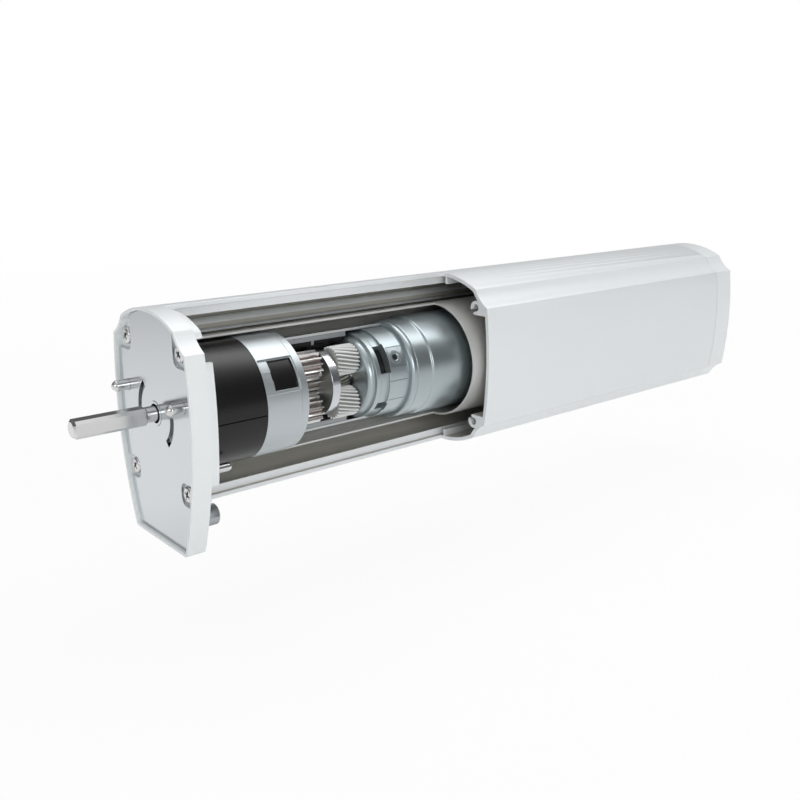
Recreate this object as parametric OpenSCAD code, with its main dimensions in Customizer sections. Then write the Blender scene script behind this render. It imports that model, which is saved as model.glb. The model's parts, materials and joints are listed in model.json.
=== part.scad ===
/* [Housing profile] */
// Gap between the drive tube and the wall at the sides
side_gap = 2.4; // [2:0.1:3]
// Bulge of the sides beyond the shoulders
bulge = 1.8; // [1.4:0.1:2.2]
// Height of the profile over both domes
dome_h = 72.4; // [71.6:0.2:74]
// Height of the profile between its upper and lower shoulders
shoulder_h = 49; // [48:0.2:50]
// Width between the two ridges where a dome meets its coves
ridge_w = 38.6; // [37.6:0.2:39.6]
// Radius of the top and bottom domes
dome_r = 41; // [39:0.5:44]
// Radius of the hollow cove along each shoulder
cove_r = 15; // [13:0.5:20]
// Wall of the extruded housing
wall = 1.6; // [1.4:0.1:1.8]
// Distance of the screw ports inside the shoulders
port_in = 6.6; // [6.3:0.1:7]
// Height of the screw ports above and below the axis
port_z = 23.9; // [23.5:0.1:24.3]
// Outer radius of a screw port
port_r = 2.9; // [2.8:0.1:3.1]
// Thickness of the web that ties a port to the side wall
web_t = 4.2; // [3.8:0.1:4.6]
// Distance of the ribs under the domes from the middle plane
rib_y = 1.4; // [1.2:0.1:2]
// Thickness of those ribs
rib_t = 1; // [0.8:0.1:1.2]
// Depth of those ribs
rib_d = 3; // [2.4:0.1:3.6]
// Length from the front rim to the end of the rear cap
unit_len = 311; // [290:1:340]
// Distance from the front rim to the cut that opens the near half
cut_x = 133.5; // [126:0.5:150]
// Length of the drive tube's near half in front of that cut
tube_ledge = 4.7; // [3:0.1:6]

/* [Inner tube] */
// Bore radius of the round tube that carries the drive
tube_r = 23.2; // [23:0.1:23.4]
// Wall of that tube
tube_wall = 0.8; // [0.6:0.1:1]

/* [Front cap] */
// Thickness of the front cap's flange
flange_t = 7; // [6.6:0.1:7.4]
// Depth of the skirt's bottom edge below the axis
skirt_z = 46.5; // [46:0.1:48]
// Half width of the skirt at its bottom edge
skirt_y = 19; // [18.4:0.1:19.6]
// Radius of the skirt's bowed sides
skirt_r = 150; // [130:5:180]
// Radius of the skirt's two bottom corners
skirt_round = 2; // [1.6:0.1:2.6]
// Width of the raised rim round the face plate
rim_w = 1.1; // [0.9:0.1:1.3]
// Length of the lip that enters the housing
spigot_len = 3.4; // [2.6:0.1:4.4]
// Thickness of that lip
spigot_t = 1.6; // [1.4:0.1:1.9]
// Depth of the face plate's surface behind the rim
plate_x = 1.3; // [1:0.1:1.6]
// Thickness of the face plate
plate_t = 1.5; // [1.2:0.1:1.8]
// Distance of a screw pocket's inner edge from its screw
pocket_in = 4.1; // [3.7:0.1:4.3]
// Inner radius of the two arc slots
arc_r = 10.5; // [10.2:0.1:11]
// Width of the two arc slots
arc_w = 2.6; // [2.2:0.1:2.8]
// Angle that each arc slot spans
arc_span = 55; // [45:1:62]

/* [Pins and screws] */
// Distance of the guide pins from the middle plane
guide_y = 20.4; // [20:0.1:21]
// Height of the guide pins above the axis
guide_z = 6.2; // [5.6:0.1:7]
// Radius of a guide pin
guide_r = 2; // [1.8:0.1:2.2]
// Step between a guide pin's free end and its root in the cap
guide_step = 0.1; // [0.05:0.05:0.2]
// Distance that the guide pins stand out of the rim
guide_out = 4.6; // [4:0.1:6]
// Radius of a cap screw's head
head_r = 3; // [2.8:0.1:3.2]
// Height of a cap screw's head
head_t = 1.65; // [1.4:0.05:1.7]
// Radius of a cap screw's shank
shank_r = 1.5; // [1.4:0.05:1.55]
// Length of a cap screw's shank
shank_len = 15; // [12:0.5:18]
// Angle at which the locating pin lies below the middle
locator_a = 42.8; // [41:0.2:44]
// Gap between the locating pin and the drive tube
locator_gap = 0.4; // [0.3:0.1:0.8]
// Radius of the locating pin
locator_r = 1.5; // [1.3:0.1:1.6]
// Distance from the front rim to the tip of the locating pin
locator_tip = 18.6; // [16:0.2:22]
// Depth of the locking knob's axis below the shaft axis
knob_z = 41.8; // [41.4:0.1:42]
// Radius of the locking knob over its rounded corners
knob_r = 4; // [3.6:0.1:4.1]
// Length of the locking knob behind the flange
knob_len = 14.7; // [12:0.1:18]

/* [Output] */
// Width across the flats of the square drive end
square_w = 6; // [5.6:0.1:6.4]
// Width of the chamfers on the square's corners
square_chamfer = 1; // [0.8:0.1:1.3]
// Distance that the drive end stands out of the rim
square_out = 28; // [24:0.5:34]
// Radius of the round neck behind the square
neck_r = 2.75; // [2.6:0.05:2.85]
// Gap between the neck and the collar round it
neck_gap = 0.65; // [0.5:0.05:0.8]
// Wall of the collar round the neck
collar_wall = 0.9; // [0.8:0.05:1]
// Radius of the shaft inside its bearing
journal_r = 4; // [3.9:0.05:4.1]
// Outer radius of the output bearing
bearing_r = 11; // [10:0.1:12]
// Width of the output bearing
bearing_w = 7; // [6:0.1:8]

/* [Gearbox] */
// Gap between the drive tube and the black cover with its window ring
cover_gap = 0.9; // [0.6:0.1:1.2]
// Wall of the window ring
ring_wall = 1.35; // [1.2:0.05:1.5]
// Depth of the step behind the window ring's shoulder
step_d = 0.4; // [0.3:0.05:0.6]
// Depth of the flat recess round the window
recess_d = 0.75; // [0.65:0.05:0.9]
// Distance from the rim to the joint of cover and window ring
cover_x = 32.2; // [30:0.2:33]
// Distance from the rim to the window ring's shoulder
shoulder_x = 46.7; // [46.4:0.1:47]
// Distance from the rim to the window ring's rear face
ring_x = 49.6; // [49.3:0.1:49.9]
// Outer radius of the gearbox tube
gear_tube_r = 19; // [18.9:0.05:19.2]
// Wall of the gearbox tube
gear_tube_wall = 1; // [0.8:0.05:1]
// Distance of each planet's axis from the drive axis
orbit_r = 9.57; // [9.45:0.01:9.65]
// Teeth of the output stage's sun
out_sun_n = 13; // [13:27:13]
// Teeth of an output planet
out_planet_n = 14; // [14:1:14]
// Length of the output planets
out_len = 14.4; // [13:0.1:14.8]
// Teeth of the input stage's sun
in_sun_n = 17; // [17:1:17]
// Teeth of an input planet
in_planet_n = 22; // [22:1:22]
// Length of the input planets
in_len = 10.4; // [9:0.1:10.6]
// Twist of an input planet from end to end
in_twist = 27.5; // [18:0.5:28]
// Radius of the carrier disc between the stages
disc_r = 13; // [12.6:0.1:13.2]
// Thickness of that disc
disc_t = 3.7; // [3.2:0.1:3.9]
// Radius of the planet pins
planet_pin_r = 1.5; // [1.3:0.05:1.6]
// Play on the flanks of the teeth, as a share of the tooth
backlash = 0.14; // [0.1:0.01:0.2]

/* [Motor] */
// Outer radius of the motor's front body
front_r = 17.8; // [17.6:0.05:17.85]
// Length of the motor's front body
front_len = 18.3; // [17.8:0.1:19]
// Gap between the input planets and that body
front_gap = 0.5; // [0.4:0.1:1]
// Bore of the motor's front body, as a radius
front_bore = 14.2; // [14:0.1:14.4]
// Radius of the hole that the motor pinion passes through
front_hole = 5.4; // [5:0.1:6.5]
// Wall of the clutch sleeve in that bore
clutch_wall = 3.15; // [2.8:0.05:3.4]
// Thickness of the rubber ring between the motor can and the drive tube
damper_t = 2.8; // [2.4:0.1:3.2]
// Wall of the motor can
can_wall = 1.4; // [1:0.1:1.6]
// Length of the motor can
can_len = 74; // [70:1:80]
// Radius of the motor shaft
shaft_r = 2.5; // [2.3:0.05:2.6]
// Thickness of a magnet
magnet_t = 2.35; // [2:0.05:2.8]
// Length of the armature
armature_len = 34; // [30:1:36]
// Gap between the armature and the magnets
air_gap = 0.8; // [0.6:0.1:0.9]
// Angle that each magnet spans
magnet_span = 140; // [120:5:150]
// Radius of the commutator
commutator_r = 5; // [4.6:0.1:5.4]
// Length of the commutator
commutator_len = 10; // [9:0.5:11]
// Length of a brush
brush_len = 7; // [6:0.1:7.4]
// Width of a brush
brush_w = 4; // [3.4:0.1:4.4]
// Length of the rear bell
bell_len = 9; // [8:0.5:10]
// Radius of the encoder disc
encoder_r = 9; // [8.4:0.1:9.2]

/* [Electronics] */
// Gap between the board tray and the rear cap's collar
tray_gap = 1.3; // [0.8:0.1:4]
// Depth of the notches in the control board's front corners
board_notch = 2.2; // [1.8:0.1:2.6]
// Depth of the control board below the axis
board_z = 12; // [11.6:0.1:12.4]
// Thickness of the control board
board_t = 1.6; // [1.2:0.2:1.6]
// Length and width of the transformer's core
transformer_w = 22; // [20:0.5:22]
// Height of the transformer
transformer_h = 17.5; // [15:0.5:18]
// Distance of the transformer from the middle plane
transformer_y = 6.5; // [6:0.1:7]
// Radius of the capacitor
capacitor_r = 6; // [5:0.1:6]
// Length of the capacitor
capacitor_len = 22; // [18:0.5:24]
// Distance of the capacitor from the middle plane
capacitor_y = 11; // [10.8:0.1:11.4]
// Length of a relay
relay_len = 15; // [13:0.5:15]
// Width of a relay
relay_w = 12; // [10:0.5:13]
// Height of a relay
relay_h = 13; // [11:0.5:13.5]
// Width of the terminal block
terminal_w = 24; // [22:0.5:26]

/* [Rear cap] */
// Length of the rear cap outside the housing
rear_len = 12.2; // [11:0.2:14]
// Length of the rear cap's lip inside the housing
rear_lip = 8; // [6:0.5:10]
// Length of the rear cap's collar inside the drive tube
rear_collar = 10; // [8:0.5:12]
// Wall of the rear cap's end
rear_wall = 3; // [2.5:0.1:3.4]
// Radius of the power inlet's body
inlet_r = 6.5; // [6:0.1:7]

/* [Hidden] */
$fn = 64;
// Clearance of a seat where one fixed piece slips over another
seat = 0.05;
// Clearance of a shaft that runs in a bore
running = 0.05;
// Gap between faces that stay apart
face_gap = 0.2;
// Segments of the wide arcs of the profile
wide_fn = 180;
// Rim width of the gap between the rim and the face plate
plate_gap = 0.15;

// Centre height of a dome's circle
dome_c = dome_h / 2 - dome_r;
// Height of the ridges
ridge_z = dome_c + sqrt(dome_r * dome_r - ridge_w * ridge_w / 4);
// Radius and centre of the bulged sides
side_w = 2 * (tube_r + tube_wall + side_gap + wall);
shoulder_w = side_w - 2 * bulge;
side_r = (shoulder_h * shoulder_h / 4 + bulge * bulge) / (2 * bulge);
side_c = side_w / 2 - side_r;
// Centre of a cove, outside the profile on the line square to its chord
cove_dy = (shoulder_w - ridge_w) / 2;
cove_dz = ridge_z - shoulder_h / 2;
cove_chord = sqrt(cove_dy * cove_dy + cove_dz * cove_dz);
cove_off = sqrt(cove_r * cove_r - cove_chord * cove_chord / 4);
cove_cy = (shoulder_w + ridge_w) / 4 + cove_off * cove_dz / cove_chord;
cove_cz = (ridge_z + shoulder_h / 2) / 2 + cove_off * cove_dy / cove_chord;
// Centre of the skirt's bowed side, through a point on the side and the bottom corner
skirt_top_y = side_w / 2 - 0.7;
skirt_top_z = -12;
skirt_dy = skirt_top_y - skirt_y;
skirt_dz = skirt_top_z + skirt_z;
skirt_chord = sqrt(skirt_dy * skirt_dy + skirt_dz * skirt_dz);
skirt_off = sqrt(skirt_r * skirt_r - skirt_chord * skirt_chord / 4);
skirt_cy = (skirt_top_y + skirt_y) / 2 - skirt_off * skirt_dz / skirt_chord;
skirt_cz = (skirt_top_z - skirt_z) / 2 + skirt_off * skirt_dy / skirt_chord;
// Centre of a bottom corner, which touches the side and the bottom edge
corner_z = skirt_round - skirt_z;
corner_y = skirt_cy + sqrt(pow(skirt_r - skirt_round, 2) - pow(corner_z - skirt_cz, 2));
corner_a = atan2(corner_z - skirt_cz, corner_y - skirt_cy);
// Places along the axis
seat_x = plate_x + plate_t;
seam_x = unit_len - rear_len;
shell_end = seam_x - face_gap;
port_y = shoulder_w / 2 - port_in;
port_bore = shank_r + seat;
pocket_y = port_y - pocket_in;
locator_at = tube_r + tube_wall + locator_gap + locator_r;
locator_y = locator_at * cos(locator_a);
locator_z = locator_at * sin(locator_a);
cover_r = tube_r - cover_gap;
collar_r = neck_r + neck_gap;
out_x = ring_x + 0.4;
disc_x = out_x + out_len + 2.1;
in_x = disc_x + disc_t + 0.6;
front_x = in_x + in_len + front_gap;
can_x = front_x + front_len;
can_r = tube_r - damper_t;
armature_r = can_r - can_wall - seat - magnet_t - air_gap;
out_m = 2 * orbit_r / (out_sun_n + out_planet_n);
in_m = 2 * orbit_r / (in_sun_n + in_planet_n);
out_ring_n = out_sun_n + 2 * out_planet_n;
in_ring_n = in_sun_n + 2 * in_planet_n;
sleeve_r = gear_tube_r - gear_tube_wall - seat;
ring_gear_r = 16.1;
stub_r = shaft_r - 0.5;
bell_x = can_x + can_len;
board_x = bell_x + bell_len + 1.5;
encoder_x = bell_x + bell_len + 4;
// Windings stand out of the armature by this length at each end
coil_len = 5;
armature_x = can_x + 12;
commutator_x = armature_x + armature_len + coil_len + 3;
brush_x = commutator_x + 3;
// The tray ends in front of the rear cap's collar, the board a little before the tray
tray_end = seam_x - rear_collar - tray_gap;
board_end = tray_end - 3;
board_half = sqrt(tube_r * tube_r - board_z * board_z) - seat;
board_y = board_half - board_notch;
board_top = board_t - board_z;
relay_x = board_x + 10;
terminal_x = board_end - 10;
// Middle of the room between the relays and the terminal block
middle_x = (relay_x + relay_len + terminal_x) / 2;
pressure = 20;
PLANETS = [120, 240, 0];

// Places a shape drawn across the axis so that it is extruded along it
module on_x(x) {
  translate([x, 0, 0]) rotate([90, 0, 90]) children();
}

// Round bar along the axis
module rod(x0, x1, r) {
  on_x(x0) cylinder(h = x1 - x0, r = r);
}

// Round tube along the axis
module sleeve(x0, x1, outer, inner) {
  difference() {
    rod(x0, x1, outer);
    rod(x0 - 1, x1 + 1, inner);
  }
}

// Part of a ring between two angles, counted from +Y towards +Z
module arc_block(x0, x1, inner, outer, a0, a1) {
  on_x(x0) rotate_extrude(angle = a1 - a0, start = a0)
    translate([inner, 0]) square([outer - inner, x1 - x0]);
}

// Block that takes away the near half between two places
module near_half(x0, x1) {
  translate([x0, -60, -60]) cube([x1 - x0, 60, 120]);
}

// Outline of the housing, drawn in by o all round
module section(o = 0) {
  difference() {
    intersection() {
      translate([0, dome_c]) circle(dome_r - o, $fn = wide_fn);
      translate([0, -dome_c]) circle(dome_r - o, $fn = wide_fn);
      translate([side_c, 0]) circle(side_r - o, $fn = 2 * wide_fn);
      translate([-side_c, 0]) circle(side_r - o, $fn = 2 * wide_fn);
    }
    for (sy = [-1, 1], sz = [-1, 1])
      translate([sy * cove_cy, sz * cove_cz]) circle(cove_r + o, $fn = wide_fn);
  }
}

// Outline of the front cap, whose skirt runs below the housing
module flange_outline(o = 0) {
  difference() {
    intersection() {
      union() {
        translate([0, dome_c]) circle(dome_r - o, $fn = wide_fn);
        translate([-50, o - skirt_z]) square([100, skirt_z]);
      }
      for_both() translate([side_c, 0]) circle(side_r - o, $fn = 2 * wide_fn);
      for_both() translate([skirt_cy, skirt_cz]) circle(skirt_r - o, $fn = 2 * wide_fn);
      translate([-50, o - skirt_z]) square([100, 100]);
    }
    for (s = [-1, 1]) scale([s, 1]) {
      translate([cove_cy, cove_cz]) circle(cove_r + o, $fn = wide_fn);
      translate([corner_y, corner_z]) difference() {
        polygon([[0, 0], 9 * [cos(corner_a), sin(corner_a)], [9, -9], [0, -9]]);
        circle(skirt_round - o);
      }
    }
  }
}

// Common part of a shape and its mirror image across the middle plane
module for_both() {
  intersection() {
    children();
    mirror([1, 0]) children();
  }
}

// Points of a toothed outline with involute flanks
function inv(a) = tan(a) * 180 / PI - a;
function half_angle(n, m, r, share) = let (base = n * m * cos(pressure) / 2)
  90 / n * share + inv(pressure) - inv(acos(min(1, base / r)));
function tooth_points(n, m, low, high, share, steps) = [
  for (k = [0 : n - 1], side = [-1, 1], i = [0 : steps])
    let (j = side < 0 ? i : steps - i, r = low + (high - low) * j / steps,
      a = 360 * k / n + side * half_angle(n, m, r, share))
      r * [cos(a), sin(a)]];

// Toothed wheel
module wheel(n, m, steps) {
  polygon(tooth_points(n, m, n * m / 2 - 1.2 * m, n * m / 2 + m, 1 - backlash, steps));
}

// Opening of a toothed ring
module ring_opening(n, m, steps) {
  polygon(tooth_points(n, m, n * m / 2 - 0.9 * m, n * m / 2 + 1.25 * m, 1 + backlash, steps));
}

// Turn that brings a planet at angle p into mesh with the sun
function planet_turn(p, sun_n, planet_n) = p + 180 - (0.5 - p * sun_n / 360) * 360 / planet_n;

// Turn that brings the ring into mesh with the planet at angle 0
function ring_turn(sun_n, planet_n) =
  planet_turn(0, sun_n, planet_n) * planet_n / (sun_n + 2 * planet_n);

// Corner of the face plate that stays clear for a screw head
module pocket(z0, z1, round_z0, round_z1) {
  c = 3;
  a = z0 + (round_z0 ? c : 0);
  b = z1 - (round_z1 ? c : 0);
  translate([pocket_y, a]) square([30, b - a]);
  translate([pocket_y + c, z0]) square([30, z1 - z0]);
  if (round_z0) translate([pocket_y + c, a]) circle(c, $fn = 48);
  if (round_z1) translate([pocket_y + c, b]) circle(c, $fn = 48);
}

// Lip of a cap that enters the housing, open where the ports, webs and ribs run
module lip(x, len) {
  on_x(x) linear_extrude(len) difference() {
    section(wall + seat);
    section(wall + seat + spigot_t);
    for (sy = [-1, 1], sz = [-1, 1]) scale([sy, sz]) {
      translate([port_y, port_z]) circle(port_r + 1.2);
      translate([port_y, port_z - port_r - face_gap]) square([20, 20]);
      translate([rib_y - face_gap, port_z]) square([rib_t + 2 * face_gap, 20]);
    }
  }
}

// Screw with a pan head and a cross recess, its head towards -X
module cap_screw(len) {
  difference() {
    union() {
      on_x(0) rotate_extrude() polygon([[0, -head_t], [head_r * 0.62, -head_t],
        [head_r * 0.86, -head_t * 0.8], [head_r, -head_t * 0.4], [head_r, 0], [0, 0]]);
      on_x(-0.01) rotate_extrude() polygon([[0, 0], [shank_r, 0], [shank_r, len - 0.8],
        [shank_r * 0.55, len], [0, len]]);
    }
    for (a = [25, 115]) rotate([a, 0, 0])
      translate([-head_t - 1, -0.45, -head_r * 0.66]) cube([2.1, 0.9, head_r * 1.32]);
  }
}

module housing_shell() color("gainsboro") difference() {
  on_x(flange_t) linear_extrude(shell_end - flange_t) {
    difference() {
      section();
      section(wall);
    }
    for (sy = [-1, 1], sz = [-1, 1]) scale([sy, sz]) {
      difference() {
        union() {
          translate([port_y, port_z]) circle(port_r);
          intersection() {
            translate([port_y, port_z - port_r]) square([9, web_t]);
            section(wall / 2);
          }
        }
        translate([port_y, port_z]) circle(port_bore);
        translate([port_y, port_z]) rotate(-141) translate([0, -0.9]) square([5, 1.8]);
      }
      intersection() {
        translate([rib_y, dome_h / 2 - wall - rib_d]) square([rib_t, rib_d + 1]);
        section(wall / 2);
      }
    }
  }
  near_half(flange_t - 1, cut_x);
}

module inner_tube() color("silver") difference() {
  sleeve(flange_t, seam_x - 2, tube_r + tube_wall, tube_r);
  near_half(flange_t - 1, cut_x - tube_ledge);
}

module front_cap() color("white") difference() {
  union() {
    on_x(0) linear_extrude(flange_t) flange_outline();
    lip(flange_t - 0.5, spigot_len + 0.5);
  }
  on_x(-1) linear_extrude(1 + seat_x) flange_outline(rim_w);
  for (sy = [-1, 1], sz = [-1, 1]) translate([0, sy * port_y, sz * port_z])
    rod(0, flange_t + 1, shank_r + 0.15);
  for (sy = [-1, 1]) translate([0, sy * guide_y, guide_z])
    rod(0, flange_t + 1, guide_r - guide_step + 0.02);
  rod(0, flange_t + 1, collar_r + collar_wall + seat);
  for (a = [-4, 176]) arc_block(0, flange_t + 1, arc_r, arc_r + arc_w, a, a + arc_span);
  translate([0, 0, -knob_z]) {
    rod(0, flange_t + 1, knob_r / 2 + running);
    rod(0, seat_x + 1.7, 3.1);
  }
  translate([0, -locator_y, -locator_z]) rod(4, flange_t + 1, locator_r + 0.02);
}

module face_plate() color("lightsteelblue") difference() {
  on_x(plate_x) linear_extrude(plate_t) difference() {
    flange_outline(rim_w + plate_gap);
    for (s = [-1, 1]) scale([s, 1]) {
      pocket(19.2, 60, true, false);
      pocket(-28.2, -20.2, true, true);
    }
    translate([-50, -60]) square([100, 60 - skirt_z + rim_w + 0.2]);
  }
  rod(0, 9, collar_r + collar_wall + seat);
  for (sy = [-1, 1]) translate([0, sy * guide_y, guide_z]) rod(0, 9, guide_r + seat);
  for (a = [-4, 176]) arc_block(0, 9, arc_r, arc_r + arc_w, a, a + arc_span);
}

module front_screws() color("silver") {
  for (sz = [-1, 1]) {
    translate([seat_x, port_y, sz * port_z]) cap_screw(shank_len);
    translate([seat_x, -port_y, sz * port_z]) cap_screw(flange_t - seat_x + 0.8);
  }
}

module guide_pins() color("silver") for (sy = [-1, 1]) translate([0, sy * guide_y, guide_z])
  on_x(-guide_out) rotate_extrude() polygon([[0, 0], [guide_r * 0.5, 0], [guide_r, 1.3],
    [guide_r, plate_x - seat + guide_out], [guide_r - guide_step, plate_x - seat + guide_out],
    [guide_r - guide_step, flange_t + guide_out], [0, flange_t + guide_out]]);

module shaft_collar() color("lightgray")
  sleeve(plate_x - 0.2, flange_t, collar_r + collar_wall, collar_r);

module locking_knob() color("darkgray") translate([0, 0, -knob_z]) {
  intersection() {
    on_x(flange_t + face_gap) rotate(7.5) linear_extrude(knob_len)
      circle(knob_r * 1.035, $fn = 8);
    on_x(flange_t + face_gap) rotate_extrude() polygon([[0, 0], [knob_r, 0],
      [knob_r, knob_len - 0.5], [knob_r - 0.5, knob_len], [0, knob_len]]);
  }
  rod(seat_x + 1.4, flange_t + face_gap + 1, knob_r / 2);
  rod(seat_x + 0.1, seat_x + 1.5, 3);
}

module locating_pin() color("silver") translate([0, -locator_y, -locator_z]) {
  rod(4, locator_tip - locator_r, locator_r);
  translate([locator_tip - locator_r, 0, 0]) sphere(locator_r);
}

module gearbox_cover() color("dimgray") difference() {
  on_x(flange_t) rotate_extrude() polygon([[journal_r + 0.3, 0], [cover_r, 0],
    [cover_r, cover_x - flange_t], [cover_r - ring_wall - seat, cover_x - flange_t],
    [cover_r - ring_wall - seat, shoulder_x - 0.3 - flange_t],
    [17.5, shoulder_x - 0.3 - flange_t], [17.5, 5 + bearing_w], [bearing_r + 0.02, 5 + bearing_w],
    [bearing_r + 0.02, 5], [journal_r + 0.3, 5]]);
  rotate([4.3, 0, 0]) translate([flange_t, -cover_r - 0.7, -0.15])
    cube([cover_x - flange_t + 1, 1, 0.3]);
}

module window_ring() color("silver") difference() {
  on_x(cover_x) rotate_extrude() polygon([[cover_r - ring_wall, 0], [cover_r, 0],
    [cover_r, shoulder_x - cover_x - 0.3], [cover_r - 0.3, shoulder_x - cover_x],
    [cover_r - step_d, shoulder_x - cover_x], [cover_r - step_d, ring_x - cover_x],
    [16.2, ring_x - cover_x], [16.2, ring_x - cover_x - 1.6],
    [cover_r - ring_wall, ring_x - cover_x - 1.6]]);
  arc_block(cover_x + 0.4, shoulder_x + 0.1, cover_r - recess_d, cover_r + 1, 133, 167);
  arc_block(cover_x + 4.3, shoulder_x - 0.5, cover_r - ring_wall - 1, cover_r + 2, 134, 164);
}

module gearbox_tube() color("gainsboro") difference() {
  sleeve(ring_x, can_x - 0.1, gear_tube_r, gear_tube_r - gear_tube_wall);
  near_half(ring_x - 1, can_x + 1);
}

module ring_sleeve() color("gray") difference() {
  on_x(ring_x) rotate_extrude() polygon([[ring_gear_r + seat, 0], [sleeve_r, 0],
    [sleeve_r, front_x - ring_x], [sleeve_r - 1, front_x + 0.6 - ring_x],
    [ring_gear_r + seat, front_x + 0.6 - ring_x]]);
  near_half(ring_x - 1, can_x + 1);
}

module output_ring_gear() color("black") difference() {
  rod(ring_x + 0.2, disc_x - 0.4, ring_gear_r);
  on_x(ring_x - 1) rotate(ring_turn(out_sun_n, out_planet_n)) linear_extrude(30)
    ring_opening(out_ring_n, out_m, 2);
  near_half(ring_x - 1, can_x + 1);
}

module ring_spacer() color("silver") difference() {
  sleeve(disc_x - 0.4, disc_x + 0.8, ring_gear_r, 14.6);
  near_half(ring_x - 1, can_x + 1);
}

module input_ring_gear() color("black") difference() {
  rod(disc_x + 0.8, front_x - 0.2, ring_gear_r);
  on_x(in_x) rotate(ring_turn(in_sun_n, in_planet_n))
    linear_extrude(in_len, twist = -in_twist * in_planet_n / in_ring_n, slices = 5)
      ring_opening(in_ring_n, in_m, 1);
  rod(disc_x - 1, in_x + 0.001, 15);
  rod(in_x + in_len - 0.001, front_x + 1, 15);
  near_half(ring_x - 1, can_x + 1);
}

module output_bearing() color("silver")
  sleeve(flange_t + 5, flange_t + 5 + bearing_w, bearing_r, journal_r + 0.03);

module output_shaft() color("silver") {
  difference() {
    translate([-square_out, -square_w / 2, -square_w / 2])
      cube([square_out - 2.8, square_w, square_w]);
    for (a = [45 : 90 : 315]) rotate([a, 0, 0])
      translate([-square_out - 1, -9, square_w / sqrt(2) - square_chamfer / sqrt(2)])
        cube([square_out + 2, 18, 9]);
    for (a = [0 : 90 : 270]) rotate([a, 0, 0]) translate([-square_out, -9, square_w / 2 - 0.9])
      rotate([0, 45, 0]) translate([-9, 0, 0]) cube([9, 18, 9]);
  }
  on_x(-3) rotate_extrude() polygon([[0, 0], [neck_r, 0],
    [neck_r, 3 + flange_t + 3.5], [journal_r, 3 + flange_t + 4.5],
    [journal_r, 3 + flange_t + 5 + bearing_w], [6, 3 + flange_t + 5.3 + bearing_w],
    [6, 3 + ring_x - 4.6], [journal_r, 3 + ring_x - 4.6], [journal_r, 3 + ring_x - 2.8],
    [0, 3 + ring_x - 2.8]]);
}

module output_carrier() color("darkgray") difference() {
  rod(ring_x - 4.5, ring_x - 0.3, 14.5);
  rod(ring_x - 5, ring_x - 2.7, journal_r + 0.02);
  rod(ring_x - 3, ring_x + 1, stub_r + running);
  for (p = PLANETS) rotate([p, 0, 0]) translate([0, orbit_r, 0])
    rod(ring_x - 5, ring_x + 1, planet_pin_r + 0.01);
}

module output_pins() color("silver") for (p = PLANETS) rotate([p, 0, 0])
  translate([0, orbit_r, 0]) rod(ring_x - 4.5, out_x + out_len + 0.5, planet_pin_r);

// Spur planet of the output stage at angle p
module output_planet(p) {
  rotate([p, 0, 0]) translate([0, orbit_r, 0]) difference() {
    on_x(out_x) rotate(planet_turn(p, out_sun_n, out_planet_n) - p) linear_extrude(out_len)
      wheel(out_planet_n, out_m, 3);
    rod(out_x - 1, out_x + out_len + 1, planet_pin_r + running);
  }
}

module output_planet_a() color("lightgray") output_planet(PLANETS[0]);
module output_planet_b() color("lightgray") output_planet(PLANETS[1]);
module output_planet_c() color("lightgray") output_planet(PLANETS[2]);

module output_sun() color("lightgray") {
  on_x(out_x) linear_extrude(disc_x - out_x) wheel(out_sun_n, out_m, 3);
  rod(ring_x - 2.4, out_x + 1, stub_r);
}

module carrier_disc() color("silver") difference() {
  rod(disc_x, disc_x + disc_t, disc_r);
  rod(disc_x + 1.2, disc_x + disc_t + 1, stub_r + running);
  for (p = PLANETS) rotate([p, 0, 0]) translate([0, orbit_r, 0])
    rod(disc_x + 0.5, disc_x + disc_t + 1, planet_pin_r + 0.01);
}

module carrier_pins() color("silver") for (p = PLANETS) rotate([p, 0, 0])
  translate([0, orbit_r, 0]) rod(disc_x + 0.5, in_x + in_len, planet_pin_r);

// Helical planet of the input stage at angle p
module input_planet(p) {
  rotate([p, 0, 0]) translate([0, orbit_r, 0]) difference() {
    on_x(in_x) rotate(planet_turn(p, in_sun_n, in_planet_n) - p)
      linear_extrude(in_len, twist = -in_twist, slices = 5) wheel(in_planet_n, in_m, 2);
    rod(in_x - 1, in_x + in_len + 1, planet_pin_r + running);
  }
}

module input_planet_a() color("whitesmoke") input_planet(PLANETS[0]);
module input_planet_b() color("whitesmoke") input_planet(PLANETS[1]);
module input_planet_c() color("whitesmoke") input_planet(PLANETS[2]);

module motor_pinion() color("tan") difference() {
  on_x(in_x) linear_extrude(in_len, twist = in_twist * in_planet_n / in_sun_n, slices = 5)
    wheel(in_sun_n, in_m, 2);
  rod(in_x - 1, in_x + in_len + 1, shaft_r + 0.02);
}

module motor_front() color("silver") difference() {
  on_x(front_x) rotate_extrude() polygon([[front_hole, 0], [14.8, 0], [front_r, 1.9],
    [front_r, 4.9], [front_r - 0.15, 5], [front_r, 5.1], [front_r, 8.5], [front_r - 0.6, 8.6],
    [front_r - 0.6, 9.4], [front_r, 9.5], [front_r, front_len], [front_bore, front_len],
    [front_bore, 3], [front_hole, 3]]);
  for (a = [0, 180]) {
    arc_block(front_x + 5, front_x + 8, 13, front_r + 1, a + 134.4, a + 169.2);
    arc_block(front_x + 5, front_x + 8, 13, front_r + 1, a + 212, a + 225);
  }
  arc_block(front_x + 9.8, can_x - 0.6, front_r - 0.6, front_r + 1, 136.5, 163.6);
  for (a = [0.4, 26.5]) rotate([a, 0, 0])
    translate([front_x + 9.5, -front_r - 0.8, -0.12]) cube([7.6, 1, 0.24]);
}

module boss_plate() color("darkgray") difference() {
  arc_block(front_x + 9.9, can_x - 0.7, front_r - 0.55, front_r - 0.05, 136.9, 163.2);
  rotate([-29.5, 0, 0]) translate([front_x + 12.9, 0, 0]) rotate([90, 0, 0])
    cylinder(h = 30, r = 1.3);
}

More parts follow.
